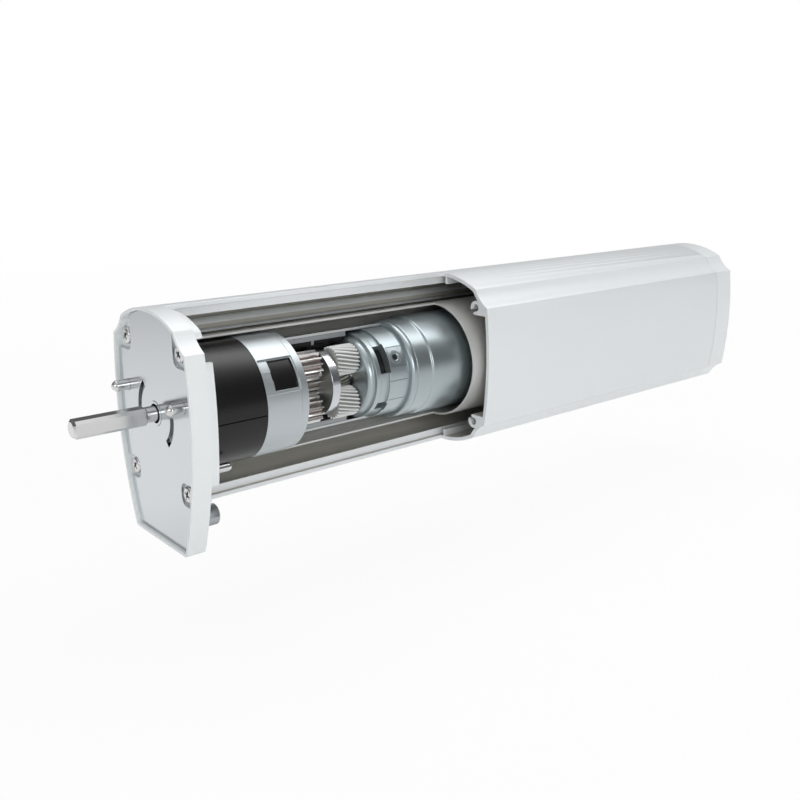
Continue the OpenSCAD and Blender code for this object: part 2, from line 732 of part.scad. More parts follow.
module clutch_sleeve() color("black")
  sleeve(front_x + 3.2, can_x - 0.2, front_bore - seat, front_bore - seat - clutch_wall);

module motor_can() color("lightsteelblue") on_x(can_x) rotate_extrude() polygon([
  [6.54, 0], [can_r - 1.4, 0], [can_r - 0.4, 0.35], [can_r, 1.2], [can_r, 10.2],
  [can_r - 0.2, 10.3], [can_r - 0.2, 10.8], [can_r, 10.9], [can_r, can_len],
  [can_r - can_wall, can_len], [can_r - can_wall, 2], [6.54, 2]]);

module magnets() color("dimgray") for (a = [90 - magnet_span / 2, 270 - magnet_span / 2])
  arc_block(armature_x - 4, armature_x + armature_len + 4, armature_r + air_gap,
    can_r - can_wall - seat, a, a + magnet_span);

module motor_shaft() color("silver") on_x(disc_x + 1.5) rotate_extrude() polygon([
  [0, 0], [stub_r, 0], [stub_r, in_x - disc_x - 1.5], [shaft_r, in_x - disc_x - 1.4],
  [shaft_r, encoder_x + 4 - disc_x], [0, encoder_x + 4 - disc_x]]);

module armature() color("gray") difference() {
  sleeve(armature_x, armature_x + armature_len, armature_r, shaft_r + 0.02);
  for (a = [0 : 30 : 330]) rotate([a, 0, 0])
    translate([armature_x - 1, armature_r - 5, -0.9]) cube([armature_len + 2, 6, 1.8]);
}

module windings() color("chocolate")
  for (x = [armature_x - coil_len, armature_x + armature_len]) on_x(x) rotate_extrude()
    polygon([[shaft_r + 0.5, 0], [armature_r - 5.8, 0], [armature_r - 2.2, coil_len * 0.24],
      [armature_r - 1.2, coil_len * 0.56], [armature_r - 2.2, coil_len * 0.86],
      [armature_r - 5.8, coil_len], [shaft_r + 0.5, coil_len]]);

module commutator() color("peru") difference() {
  sleeve(commutator_x, commutator_x + commutator_len, commutator_r, shaft_r + 0.02);
  for (a = [0 : 30 : 330]) rotate([a, 0, 0])
    translate([commutator_x - 1, commutator_r - 0.6, -0.15]) cube([commutator_len + 2, 1, 0.3]);
}

module brushes() color("black") for (s = [-1, 1]) translate([brush_x,
  s * (commutator_r + 0.3 + brush_len / 2) - brush_len / 2, -brush_w / 2])
  cube([brush_w, brush_len, brush_w]);

module rear_bell() color("dimgray") difference() {
  union() {
    on_x(bell_x) rotate_extrude() polygon([[0, 0], [8.5, 0], [8.5, 0.5], [can_r - 1, 0.5],
      [can_r, 1], [can_r, bell_len - 1], [can_r - 1, bell_len], [0, bell_len]]);
    for (s = [-1, 1]) translate([brush_x - 1,
      s * (commutator_r + 0.4 + brush_len / 2) - brush_len / 2 + 0.1, -brush_w / 2 - 1.2])
      cube([bell_x + 2 - brush_x, brush_len - 0.2, brush_w + 2.4]);
  }
  rod(bell_x - 0.5, bell_x + 3, 6.54);
  rod(bell_x, bell_x + bell_len + 1, shaft_r + 0.5);
  translate([brush_x - 2, -14, -brush_w / 2 - seat])
    cube([brush_w + 2 + 2 * seat, 28, brush_w + 2 * seat]);
}

module front_bearing() color("silver")
  sleeve(can_x - 3, can_x + 2, 6.5, shaft_r + 0.03);

module rear_bearing() color("silver")
  sleeve(bell_x + 0.1, bell_x + bell_len - 6, 6.5, shaft_r + 0.03);

module damper_ring() color("black") on_x(bell_x - 9) rotate_extrude() difference() {
  translate([can_r + seat, 0]) square([tube_r - can_r - 2 * seat, 7]);
  for (z = [2.3, 4.7]) translate([tube_r, z]) circle(0.6, $fn = 24);
}

module encoder_disc() color("black") difference() {
  union() {
    sleeve(encoder_x, encoder_x + 1, encoder_r, shaft_r + 0.02);
    sleeve(encoder_x, encoder_x + 3, 4, shaft_r + 0.02);
  }
  for (a = [0 : 30 : 330]) rotate([a, 0, 0])
    translate([encoder_x - 1, encoder_r - 2.4, -0.7]) cube([3, 1.6, 1.4]);
}

module encoder_sensor() color("black") difference() {
  translate([encoder_x - 2, -3, board_top]) cube([5, 6, -board_top - encoder_r + 3.2]);
  translate([encoder_x - 0.6, -4, -encoder_r - 0.4]) cube([2.2, 8, 9]);
}

module board_tray() color("gray") difference() {
  arc_block(board_x + 2, tray_end, tube_r - 2, tube_r - 0.1, 190, 350);
  translate([board_x, -40, -board_z]) cube([tray_end + 6 - board_x, 80, 40]);
  for (x = [board_x + 22 : 28 : board_end - 14])
    arc_block(x, x + 12, tube_r - 3, tube_r + 1, 240, 300);
}

module control_board() color("darkgreen") difference() {
  translate([board_x, -board_half, -board_z])
    cube([board_end - board_x, 2 * board_half, board_t]);
  for (s = [-1, 1]) translate([board_x - 1, s > 0 ? board_y : -board_y - 9, -board_z - 1])
    cube([3.5, 9, 4]);
}

module transformer() color("gold") translate([middle_x, -transformer_y, board_top]) {
  translate([-transformer_w / 2, -transformer_w / 2, 0])
    cube([transformer_w, transformer_w, transformer_h]);
  translate([-transformer_w / 2 - 3, 3 - transformer_w / 2, 3])
    cube([transformer_w + 6, transformer_w - 6, transformer_h - 6]);
}

module capacitor() color("midnightblue") translate([middle_x, capacitor_y, board_top + capacitor_r])
  rod(-capacitor_len / 2, capacitor_len / 2, capacitor_r);

module relays() color("royalblue") for (s = [-1, 1])
  translate([relay_x, s * 8.5 - relay_w / 2, board_top]) cube([relay_len, relay_w, relay_h]);

module terminal_block() color("forestgreen") difference() {
  translate([terminal_x, -terminal_w / 2, board_top]) cube([8, terminal_w, 10]);
  for (i = [-1.5 : 1 : 1.5]) translate([terminal_x + 3, i * terminal_w / 4 - 1.9, board_top + 2.4])
    cube([9, 3.8, 4.5]);
}

module rear_cap() color("gainsboro") difference() {
  union() {
    on_x(seam_x) linear_extrude(rear_len) section();
    lip(seam_x - rear_lip, rear_lip + 0.5);
    sleeve(seam_x - rear_collar, seam_x + 1, tube_r - seat, tube_r - 2);
  }
  difference() {
    on_x(seam_x - 0.1) linear_extrude(rear_len - rear_wall + 0.1) section(wall + spigot_t);
    sleeve(seam_x - 1, seam_x + rear_len, tube_r - seat, tube_r - 2);
    for (sy = [-1, 1], sz = [-1, 1]) translate([0, sy * port_y, sz * port_z])
      rod(seam_x - 0.1, seam_x + rear_len, port_r + 1);
  }
  for (sy = [-1, 1], sz = [-1, 1]) translate([0, sy * port_y, sz * port_z]) {
    rod(seam_x - 1, unit_len + 1, shank_r + 0.15);
    rod(unit_len - head_t - 0.4, unit_len + 1, head_r + 0.3);
  }
  rod(unit_len - rear_wall - 1, unit_len + 1, inlet_r + seat);
}

module rear_screws() color("silver") for (sy = [-1, 1], sz = [-1, 1])
  translate([unit_len - head_t - 0.4, sy * port_y, sz * port_z]) mirror([1, 0, 0])
    cap_screw(shank_len + rear_len);

module power_inlet() color("black") {
  difference() {
    union() {
      rod(unit_len - 9, unit_len, inlet_r);
      sleeve(unit_len, unit_len + 0.8, inlet_r + 1.4, inlet_r - 1.5);
      rod(unit_len - rear_wall - 1.6, unit_len - rear_wall, inlet_r + 1.4);
    }
    rod(unit_len - 7, unit_len + 1, inlet_r - 1.5);
  }
  for (a = [45 : 90 : 315]) rotate([a, 0, 0]) translate([0, 2.7, 0])
    rod(unit_len - 8, unit_len - 1, 0.7);
}

housing_shell();
inner_tube();
front_cap();
face_plate();
front_screws();
guide_pins();
shaft_collar();
locking_knob();
locating_pin();
gearbox_cover();
window_ring();
gearbox_tube();
ring_sleeve();
output_ring_gear();
ring_spacer();
input_ring_gear();
output_bearing();
output_shaft();
output_carrier();
output_pins();
output_planet_a();
output_planet_b();
output_planet_c();
output_sun();
carrier_disc();
carrier_pins();
input_planet_a();
input_planet_b();
input_planet_c();
motor_pinion();
motor_front();
boss_plate();
clutch_sleeve();
motor_can();
magnets();
motor_shaft();
armature();
windings();
commutator();
brushes();
rear_bell();
front_bearing();
rear_bearing();
damper_ring();
encoder_disc();
encoder_sensor();
board_tray();
control_board();
transformer();
capacitor();
relays();
terminal_block();
rear_cap();
rear_screws();
power_inlet();
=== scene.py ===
"""Looks of a curtain track drive motor, opened on one side to show its planetary gears.

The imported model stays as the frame. Each node gets a procedural finish, and the pieces that show most are
made again with finer forms: turned rings, helical and spur gears, cross-recessed screws and the drive shaft.
"""
import json
import math

import bpy
import numpy as np
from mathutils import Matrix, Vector


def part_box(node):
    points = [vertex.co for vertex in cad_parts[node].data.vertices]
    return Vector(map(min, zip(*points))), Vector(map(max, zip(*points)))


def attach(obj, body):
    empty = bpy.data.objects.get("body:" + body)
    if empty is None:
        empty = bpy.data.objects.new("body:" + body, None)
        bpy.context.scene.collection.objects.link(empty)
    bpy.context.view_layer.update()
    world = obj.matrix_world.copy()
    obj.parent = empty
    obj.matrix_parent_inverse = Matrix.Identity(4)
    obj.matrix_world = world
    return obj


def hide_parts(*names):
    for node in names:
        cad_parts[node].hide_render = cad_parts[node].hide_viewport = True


bl_info = {
    "name": "Curtain drive motor",
    "version": (1, 0, 0),
    "blender": (4, 5, 0),
    "location": "3D View > Sidebar > Drive motor",
    "description": "Finishes and fine forms of an opened curtain track drive motor",
    "category": "Object",
}

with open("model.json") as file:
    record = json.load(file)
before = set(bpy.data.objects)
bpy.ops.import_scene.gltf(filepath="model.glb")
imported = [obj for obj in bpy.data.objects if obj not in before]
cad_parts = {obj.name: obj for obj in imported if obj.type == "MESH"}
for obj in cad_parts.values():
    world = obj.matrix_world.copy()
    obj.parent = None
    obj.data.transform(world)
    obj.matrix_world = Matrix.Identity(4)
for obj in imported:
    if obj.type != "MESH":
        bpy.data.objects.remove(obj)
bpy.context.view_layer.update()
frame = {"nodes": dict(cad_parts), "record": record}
NODES = frame["nodes"]
BODY_OF = {node: body for body, nodes in frame["record"]["behaviour"]["bodies"].items() for node in nodes}
SLOT_OF = {part["node"]: part["material_slot"] for part in frame["record"]["subparts"]}
MM = 0.001
FULL_TURN = 2 * math.pi
# Turn of the surface at an edge past which the edge is rounded, in degrees
CREASE = 28.0
PRESSURE_ANGLE = math.radians(20)
# How far a tooth reaches out and in from the pitch circle in modules, and its share of the pitch there
ADDENDUM, DEDENDUM, TOOTH_SHARE = 1.0, 1.2, 0.86
# Room between a planet and its pin, in millimetres
PIN_ROOM = 0.05
# Where each planet stands round the drive axis, in degrees from +Y
PLANET_PLACES = {"a": 120.0, "b": 240.0, "c": 0.0}
# Pieces that keep their form, with the width in millimetres to which their edges are rounded
SOFT_EDGES = {
    "housing_shell": 0.14, "front_cap": 0.22, "rear_cap": 0.3, "face_plate": 0.12,
    "shaft_collar": 0.08, "locking_knob": 0.25,
    "output_ring_gear": 0.06, "input_ring_gear": 0.05, "ring_spacer": 0.1,
    "carrier_disc": 0.25, "clutch_sleeve": 0.2,
    "output_carrier": 0.2, "power_inlet": 0.15, "motor_shaft": 0.1, "output_pins": 0.15, "carrier_pins": 0.15,
}


# Points and meshes

def turned(profile, steps=128):
    """Surface of revolution about the X axis: point (x, r) at angle a lies at (x, r cos a, r sin a)."""
    profile = np.asarray(profile, float)
    angles = np.linspace(0, FULL_TURN, steps, endpoint=False)
    x = np.repeat(profile[:, :1], steps, 1)
    radius = profile[:, 1:2]
    return np.stack([x, radius * np.cos(angles), radius * np.sin(angles)], -1)


def loops_along(xs, angles, radii):
    """Grid of loops across the X axis: loop i lies at xs[i], and its points have angles[i] and radii[i]."""
    xs = np.broadcast_to(np.asarray(xs, float)[:, None], np.shape(radii))
    return np.stack([xs, radii * np.cos(angles), radii * np.sin(angles)], -1)


class Form:
    """Closed shells of points gathered into one mesh."""

    def __init__(self):
        self.points = []
        self.quads = []
        self.ends = []
        self.count = 0

    def shell(self, grid, wrap_rows=False):
        """Adds a grid of points in millimetres, whose columns join up. Its cells become quads, and unless its
        rows join up too, each end is closed by one face."""
        grid = np.asarray(grid, float) * MM
        index = np.arange(grid[..., 0].size).reshape(grid.shape[:2])
        here = index if wrap_rows else index[:-1]
        below = np.roll(index, -1, 0) if wrap_rows else index[1:]
        quads = np.stack([here, np.roll(here, -1, 1), np.roll(below, -1, 1), below], -1).reshape(-1, 4)
        ends = [] if wrap_rows else [index[0, ::-1], index[-1]]
        flat = grid.reshape(-1, 3)
        if self._volume(flat, quads, ends) < 0:
            quads = quads[:, ::-1]
            ends = [end[::-1] for end in ends]
        self.points.append(flat)
        self.quads.append(quads + self.count)
        self.ends += [end + self.count for end in ends]
        self.count += len(flat)
        return self

    def blocks(self, xs, angles, radii, kept):
        """Adds the outer faces of a stack of blocks round the X axis, in millimetres. Corner (i, j, k) lies
        at xs[i], angles[j] and radii[k][i], and kept[i, j, k] says whether the block that starts there is
        present. A face is drawn wherever a block that is kept meets one that isn't. Angles that go all the
        way round join up."""
        xs, angles = np.asarray(xs, float), np.asarray(angles, float)
        radii = np.array([np.broadcast_to(r, len(xs)) for r in radii])
        full = kept.shape[1] == len(angles)
        turn = np.radians(angles)
        reach = radii.T[:, None, :]
        place = np.stack(np.broadcast_arrays(xs[:, None, None], reach * np.cos(turn)[None, :, None],
                                             reach * np.sin(turn)[None, :, None]), -1)
        index = np.arange(place[..., 0].size).reshape(place.shape[:3])
        padded = np.pad(kept, ((1, 1), (0, 0), (1, 1)))
        edge = padded[:, -1:] if full else np.zeros_like(padded[:, :1])
        padded = np.concatenate([edge, padded, padded[:, :1] if full else edge], 1)
        if full:
            index = np.concatenate([index, index[:, :1]], 1)
        quads = []
        for axis, (first, second) in enumerate(((2, 1), (0, 2), (1, 0))):
            # The blocks on either side of each face across this axis
            inner = [slice(1, -1)] * 3
            inner[axis] = slice(None, -1)
            before = padded[tuple(inner)]
            inner[axis] = slice(1, None)
            after = padded[tuple(inner)]
            corners = []
            for one, two in ((0, 0), (1, 0), (1, 1), (0, 1)):
                pick = [slice(None)] * 3
                pick[first] = slice(one, index.shape[first] - 1 + one)
                pick[second] = slice(two, index.shape[second] - 1 + two)
                corners.append(index[tuple(pick)])
            cells = np.stack(corners, -1)
            if full and axis == 1:
                before, after, cells = (each[:, :-1] for each in (before, after, cells))
            quads += [cells[before & ~after], cells[after & ~before][:, ::-1]]
        quads = np.concatenate(quads)
        used, quads = np.unique(quads, return_inverse=True)
        self.points.append(place.reshape(-1, 3)[used] * MM)
        self.quads.append(quads.reshape(-1, 4) + self.count)
        self.count += len(used)
        return self

    @staticmethod
    def _volume(points, quads, ends):
        """Volume by the sum of a . (b x c) / 6 over the faces cut into triangles."""
        points = points - points.mean(0)
        faces = [quads[:, [0, 1, 2]], quads[:, [0, 2, 3]]]
        faces += [np.stack([np.full(len(end) - 2, end[0]), end[1:-1], end[2:]], -1) for end in ends]
        a, b, c = (points[np.concatenate(faces)][:, k] for k in range(3))
        return np.einsum("ij,ij->", a, np.cross(b, c)) / 6

    def build(self, name, sharp=32.0):
        """Mesh object at the origin, smooth except across edges that turn by more than sharp degrees."""
        points = np.concatenate(self.points)
        quads = np.concatenate(self.quads)
        sizes = np.concatenate([np.full(len(quads), 4), [len(e) for e in self.ends]]).astype(np.int32)
        corners = np.concatenate([quads.ravel(), *self.ends]).astype(np.int32)
        mesh = bpy.data.meshes.new(name)
        mesh.vertices.add(len(points))
        mesh.vertices.foreach_set("co", points.astype(np.float32).ravel())
        mesh.loops.add(len(corners))
        mesh.loops.foreach_set("vertex_index", corners)
        mesh.polygons.add(len(sizes))
        mesh.polygons.foreach_set("loop_start", np.concatenate([[0], np.cumsum(sizes)[:-1]]).astype(np.int32))
        mesh.update(calc_edges=True)
        mesh.validate()
        mesh.shade_smooth()
        mesh.set_sharp_from_angle(angle=math.radians(sharp))
        piece = bpy.data.objects.new(name, mesh)
        bpy.context.scene.collection.objects.link(piece)
        return piece


def softened(node, name, width):
    """Copy of a CAD node with its triangles merged, flat faces joined and its edges rounded."""
    mesh = NODES[node].data.copy()
    mesh.name = name
    piece = bpy.data.objects.new(name, mesh)
    bpy.context.scene.collection.objects.link(piece)
    for other in bpy.context.selected_objects:
        other.select_set(False)
    bpy.context.view_layer.objects.active = piece
    piece.select_set(True)
    bpy.ops.object.mode_set(mode="EDIT")
    bpy.ops.mesh.select_all(action="SELECT")
    bpy.ops.mesh.remove_doubles(threshold=1e-6)
    bpy.ops.mesh.dissolve_limited(angle_limit=math.radians(0.2), delimit={"NORMAL"})
    bpy.ops.object.mode_set(mode="OBJECT")
    mesh.shade_smooth()
    mesh.set_sharp_from_angle(angle=math.radians(CREASE))
    return eased(piece, width)


def eased(piece, width):
    """Rounds the piece's sharp edges to width millimetres."""
    edge = piece.modifiers.new("Rounded edges", "BEVEL")
    edge.width = width * MM
    edge.segments = 2
    edge.limit_method = "ANGLE"
    edge.angle_limit = math.radians(CREASE)
    edge.harden_normals = True
    edge.use_clamp_overlap = True
    return piece


def settle(piece, node, finish=None):
    """Gives the piece the node's finish, body and slot, and lets it stand for the node."""
    piece.data.materials.clear()
    piece.data.materials.append(finish or finish_for(node))
    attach(piece, BODY_OF[node])
    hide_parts(node)


# Gears

def marked(piece, values):
    """Keeps a number for each point of the piece, which the toothed finish reads as depth and paints shade
    by.
    """
    piece.data.attributes.new("depth", "FLOAT", "POINT").data.foreach_set("value", values.astype(np.float32))
    return piece


class Toothing:
    """Teeth of a gear in mesh with another at the planets' distance. The module is twice that distance over
    the sum of their teeth."""

    def __init__(self, sizes, teeth, other_teeth, steps):
        self.teeth = teeth
        self.other_teeth = other_teeth
        self.steps = steps
        module = 2 * sizes.orbit / MM / (teeth + other_teeth)
        self.pitch = teeth * module / 2
        self.root = self.pitch - DEDENDUM * module
        self.tip = self.pitch + ADDENDUM * module

    def half_tooth(self, radius):
        """Half the angle of a tooth at a radius: half the pitch angle times its share, less what the involute
        has turned from the pitch circle to the radius. The involute of angle t is tan t - t. Under the base
        circle the tooth widens a little, as a fillet."""
        base = self.pitch * math.cos(PRESSURE_ANGLE)
        turn = np.arccos(np.minimum(1.0, base / radius))
        at_pitch = math.tan(PRESSURE_ANGLE) - PRESSURE_ANGLE
        fillet = np.maximum(0, 1 - radius / base) * 0.05
        return math.pi / 2 / self.teeth * TOOTH_SHARE + at_pitch - (np.tan(turn) - turn) + fillet

    def loop(self):
        """Angles and radii round the gear: each tooth runs up one involute flank and down the other."""
        radii = np.linspace(self.root, self.tip, self.steps)
        half = self.half_tooth(radii)
        angles = np.concatenate([-half, half[::-1]])
        radii = np.concatenate([radii, radii[::-1]])
        centres = np.arange(self.teeth)[:, None] * FULL_TURN / self.teeth
        return (centres + angles).ravel(), np.tile(radii, self.teeth)

    def depth(self, y, z):
        """How far a point lies down the teeth, from 0 at the tips to 1 at the roots."""
        return np.clip((self.tip - np.hypot(y, z)) / (self.tip - self.root), 0, 1)

    def turn_at(self, place):
        """Turn in degrees that brings a planet at that place into mesh with a sun that has a tooth on +Y."""
        return place + 180 - (0.5 - place * self.other_teeth / 360) * 360 / self.teeth

    def planets(self, sizes, nodes, names, twist, edge, slices=2, inset=0.0):
        """Makes the three planets round the sun, each between the ends of its node, less the inset."""
        orbit, bore = sizes.orbit / MM, sizes.pin_radius / MM + PIN_ROOM
        for letter, place in PLANET_PLACES.items():
            node = nodes + letter
            start, end = (corner.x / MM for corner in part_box(node))
            grid = gear_grid(self.loop(), start + inset, end - inset, self.turn_at(place), twist, bore, edge,
                             slices)
            at = math.radians(place)
            form = Form().shell(moved(grid, orbit * math.cos(at), orbit * math.sin(at)), wrap_rows=True)
            depth = self.depth(grid[..., 1], grid[..., 2]).ravel()
            settle(marked(form.build(names + letter), depth), node)


def gear_grid(loop, start, end, turn, twist, bore, edge, slices):
    """Grid of a gear: loops of teeth from end to end, turned by twist on the way, then back along the round
    wall at radius bore. The teeth are lowered by edge at both ends, as a chamfer."""
    angles, radii = loop
    first = edge / (end - start)
    t = np.concatenate([[0], np.linspace(first, 1 - first, slices), [1]])
    lowered = np.zeros(len(t))
    lowered[[0, -1]] = edge
    rows = np.radians(turn + twist * t)[:, None] + angles
    out = loops_along(start + (end - start) * t, rows, radii - lowered[:, None])
    back = loops_along([end, start], rows[[-1, 0]], np.full((2, len(radii)), bore))
    return np.concatenate([out, back])


def moved(grid, y=0.0, z=0.0, x=0.0):
    """The grid shifted in its place."""
    return grid + np.array([x, y, z])


# Turned pieces and screws

def lines_round(*marks, step=2.0, start=0.0, stop=360.0):
    """Angles a step apart, with the marks among them and no line closer than a third of a step to a mark."""
    even = np.arange(start, stop, step)
    if stop - start < 360:
        even = np.append(even, stop)
    if marks:
        near = np.abs(even[:, None] - np.array(marks)).min(1) < step / 3
        near[0] = near[0] and start in marks
        even = even[~near]
    return np.unique(np.concatenate([even, marks]))


def between(lines, low, high):
    """Which of the cells between the lines lie between low and high."""
    middle = (lines[:-1] + lines[1:]) / 2
    return (middle > low) & (middle < high)


def squared(angles, half, cut):
    """Distance from the centre to the outline of a square with cut corners: the lesser of the way to its
    nearest side, half / cos a, and the way to its nearest cut, the diagonal less half the cut / cos b."""
    to_side = (angles + math.pi / 4) % (math.pi / 2) - math.pi / 4
    to_corner = angles % (math.pi / 2) - math.pi / 4
    side = half / np.cos(to_side)
    corner = (half * math.sqrt(2) - cut / math.sqrt(2)) / np.cos(to_corner)
    return np.minimum(side, corner)


def screw_head(radius, height, turn, steps=96):
    """Pan head towards -X, as rings from its middle to its rim. The face is flat, falls off to the rim as a
    quarter of an ellipse, and is sunk where a point lies in one of the two arms of the cross, whose ends and
    bottom slope."""
    flat = 0.62
    arm, arm_wall, reach, end_slope, sink = 0.17, 0.05, 0.60, 0.22, 0.62
    rings = np.concatenate([np.linspace(0.02, flat, 22), np.linspace(0.66, 1.0, 8)])
    angles = np.linspace(0, FULL_TURN, steps, endpoint=False)
    r, a = np.meshgrid(rings, angles, indexing="ij")
    y, z = r * np.cos(a - turn), r * np.sin(a - turn)
    off = np.maximum(r - flat, 0) / (1 - flat)
    face = -height * (0.35 + 0.65 * np.sqrt(np.clip(1 - off ** 2, 0, 1)))
    depth = np.zeros_like(r)
    for across, along in ((y, z), (z, y)):
        inside = np.clip((arm - np.abs(across)) / arm_wall, 0, 1)
        slope = np.clip((reach - np.abs(along)) / end_slope, 0, 1)
        depth = np.maximum(depth, inside * slope)
    return np.stack([face + depth * sink * height, radius * r * np.cos(a), radius * r * np.sin(a)], -1)


def screw(head, height, shank, length, turn):
    """Cap screw that points along X: its head, then a straight shank with a chamfered end."""
    rows = screw_head(head, height, turn)
    steps = rows.shape[1]
    angles = np.linspace(0, FULL_TURN, steps, endpoint=False)
    radii = np.array([head, shank, shank, shank * 0.6])[:, None] * np.ones(steps)
    return np.concatenate([rows, loops_along([0.0, 0.0, length - 0.8, length], angles[None], radii)])


# Materials

def math_method(operation, swapped=False):
    """Method of a Link that adds the Math node for the operation, with the two inputs swapped if asked."""
    def method(self, *others):
        values = (self, *others)
        if swapped:
            values = values[::-1]
        return self.nodes.node("ShaderNodeMath", {"operation": operation}, *values)
    return method


class Link:
    """Output of a node. Arithmetic on it adds the Math nodes that work it out."""
    __add__ = __radd__ = math_method("ADD")
    __sub__ = math_method("SUBTRACT")
    __rsub__ = math_method("SUBTRACT", True)
    __mul__ = __rmul__ = math_method("MULTIPLY")
    __pow__ = math_method("POWER")
    __gt__ = math_method("GREATER_THAN")
    __lt__ = math_method("LESS_THAN")
    __abs__ = math_method("ABSOLUTE")

    def __init__(self, nodes, socket):
        self.nodes = nodes
        self.socket = socket

    def clamped(self):
        """The value held between 0 and 1."""
        return self.nodes.node("ShaderNodeClamp", {}, self)


class NodeTree:
    """Tree of a material or of the world, to which nodes are added."""

    def __init__(self, tree):
        self.tree = tree

    def node(self, kind, settings, *values, out=0, **named):
        """Adds a node with its settings and the values or links of its sockets. Returns the output asked."""
        made = self.tree.nodes.new(kind)
        for name, value in settings.items():
            setattr(made, name, value)
        sockets = list(zip(made.inputs, values))
        sockets += [(made.inputs[name.replace("_", " ")], value) for name, value in named.items()]
        for socket, value in sockets:
            self.feed(socket, value)
        return Link(self, made.outputs[out])

    def feed(self, socket, value):
        """Sets a socket to a number or colour, or links it."""
        if isinstance(value, Link):
            value = value.socket
        if isinstance(value, bpy.types.NodeSocket):
            self.tree.links.new(value, socket)
        else:
            socket.default_value = value

    def vector(self, operation, *values, out=0):
        """Adds a Vector Math node."""
        return self.node("ShaderNodeVectorMath", {"operation": operation}, *values, out=out)

    def part(self, vector, axis):
        """One coordinate of a vector."""
        return self.node("ShaderNodeSeparateXYZ", {}, vector, out=axis)

    def ray(self, kind):
        """1 for rays of that kind, 0 for the others."""
        return self.node("ShaderNodeLightPath", {}, out=f"Is {kind} Ray")


class Finish(NodeTree):
    """One procedural material round a Principled shader, on Object coordinates."""

    def __init__(self, name, colour, metallic, roughness, **fixed):
        self.material = bpy.data.materials.new(name)
        self.material.use_nodes = True
        super().__init__(self.material.node_tree)
        self.shader = self.tree.nodes["Principled BSDF"]
        self.colour = tuple(colour)
        self.base_roughness = roughness
        self.shade("Base Color", (*self.colour, 1))
        self.shade("Metallic", metallic)
        self.shade("Roughness", roughness)
        for socket, value in fixed.items():
            self.shade(socket.replace("_", " ").title().replace("Ior", "IOR"), value)
        self.place = self.node("ShaderNodeTexCoord", {}, out="Object")

    def shade(self, socket, value):
        """Feeds a socket of the shader."""
        self.feed(self.shader.inputs[socket], value)

    def scaled(self, x=1.0, y=1.0, z=1.0):
        """Object coordinates stretched along the axes."""
        return self.vector("MULTIPLY", self.place, (x, y, z))

    def normal(self):
        """The direction that the surface faces."""
        return self.node("ShaderNodeNewGeometry", {}, out="Normal")

    def ends(self):
        """1 on the faces that look along X, 0 on the others."""
        return (abs(self.part(self.normal(), "X")) > 0.7) * 1.0

    def noise(self, scale, detail=2.0, roughness=0.6, stretch=None):
        """Noise from 0 to 1, in cells of 1 / scale metres, stretched along the axes."""
        place = self.scaled(*stretch) if stretch else self.place
        return self.node("ShaderNodeTexNoise", {}, Vector=place, Scale=scale, Detail=detail,
                         Roughness=roughness)

    def clouds(self, scale, detail=2.0):
        """Soft noise for large, faint patches."""
        return self.noise(scale, detail, 0.5)

    def mixed(self, mask, first, second):
        """Colour that goes from the first to the second as mask goes from 0 to 1."""
        first, second = (c if isinstance(c, Link) else (*c[:3], 1) for c in (first, second))
        mix = self.tree.nodes.new("ShaderNodeMix")
        mix.data_type = "RGBA"
        for index, value in ((0, mask), (6, first), (7, second)):
            self.feed(mix.inputs[index], value)
        return Link(self, mix.outputs[2])

    def roughened(self, mask, spread):
        """Varies the roughness by spread round its base value."""
        self.shade("Roughness", mask * spread + (self.base_roughness - spread / 2))

    def bumped(self, height, strength, rise=0.00001):
        """Raises the surface by height times rise metres."""
        self.shade("Normal", self.node("ShaderNodeBump", {}, Strength=strength, Distance=rise, Height=height))

    def grained(self, depth, fine, clouds, share, spread, strength, rise=0.00001):
        """Darkens the colour by up to depth, share of it with the fine noise and the rest with the clouds.
        The fine noise also roughens and bumps the surface."""
        mask = (fine * share + clouds * (1 - share)).clamped()
        self.shade("Base Color", self.mixed(mask, self.colour, dimmed(self.colour, depth)))
        self.roughened(fine, self.base_roughness * spread)
        self.bumped(fine, strength, rise)
        return self.material


def dimmed(colour, depth):
    """The colour less a share of it."""
    return tuple(c * (1 - depth) for c in colour)


def brushed(name, colour, roughness, grain, depth):
    """Metal with fine lines along X, or round it when the grain is stretched the other way."""
    finish = Finish(name, colour, 1.0, roughness)
    lines = finish.noise(900, 3, stretch=grain)
    return finish.grained(depth, lines, finish.clouds(45), 0.6, 0.35, 0.25, 0.00002)


def moulded(name, colour, roughness, depth, **fixed):
    """Moulded or painted surface with a fine even grain and faint clouds."""
    finish = Finish(name, colour, 0.0, roughness, **fixed)
    return finish.grained(depth, finish.noise(1800, 3), finish.clouds(60), 0.3, 0.25, 0.1)


def satin(name, colour, roughness, depth=0.05, metallic=1.0):
    """Blasted or plated metal: even, with a very fine grain and faint clouds."""
    finish = Finish(name, colour, metallic, roughness)
    return finish.grained(depth, finish.noise(3200), finish.clouds(55, 3), 0.3, 0.15, 0.08)


def lacquered(name, colour, roughness, metallic):
    """Light powder coat: even colour with a trace of metal under it. The bore and the slots behind the face
    plate are painted near black as painted shade, which is where x lies in the front cap and the distance
    from the axis is small."""
    finish = Finish(name, colour, metallic, roughness, coat_weight=0.15, coat_roughness=0.25)
    bore_radius, bore_start, bore_end = 0.0165, 0.0044, 0.012
    speck = finish.noise(2600)
    away = finish.vector("LENGTH", finish.scaled(0, 1, 1), out="Value")
    along = finish.part(finish.place, "X")
    bore = (away < bore_radius) * (along > bore_start) * (along < bore_end)
    pale = finish.mixed(finish.clouds(14), colour, dimmed(colour, 0.03))
    # Painted shade: near black where the bore lies behind the face plate, in place of the pale coat
    finish.shade("Base Color", finish.mixed(bore, pale, (0.02, 0.02, 0.018)))
    finish.roughened(speck, 0.08)
    finish.bumped(speck, 0.12)
    return finish.material


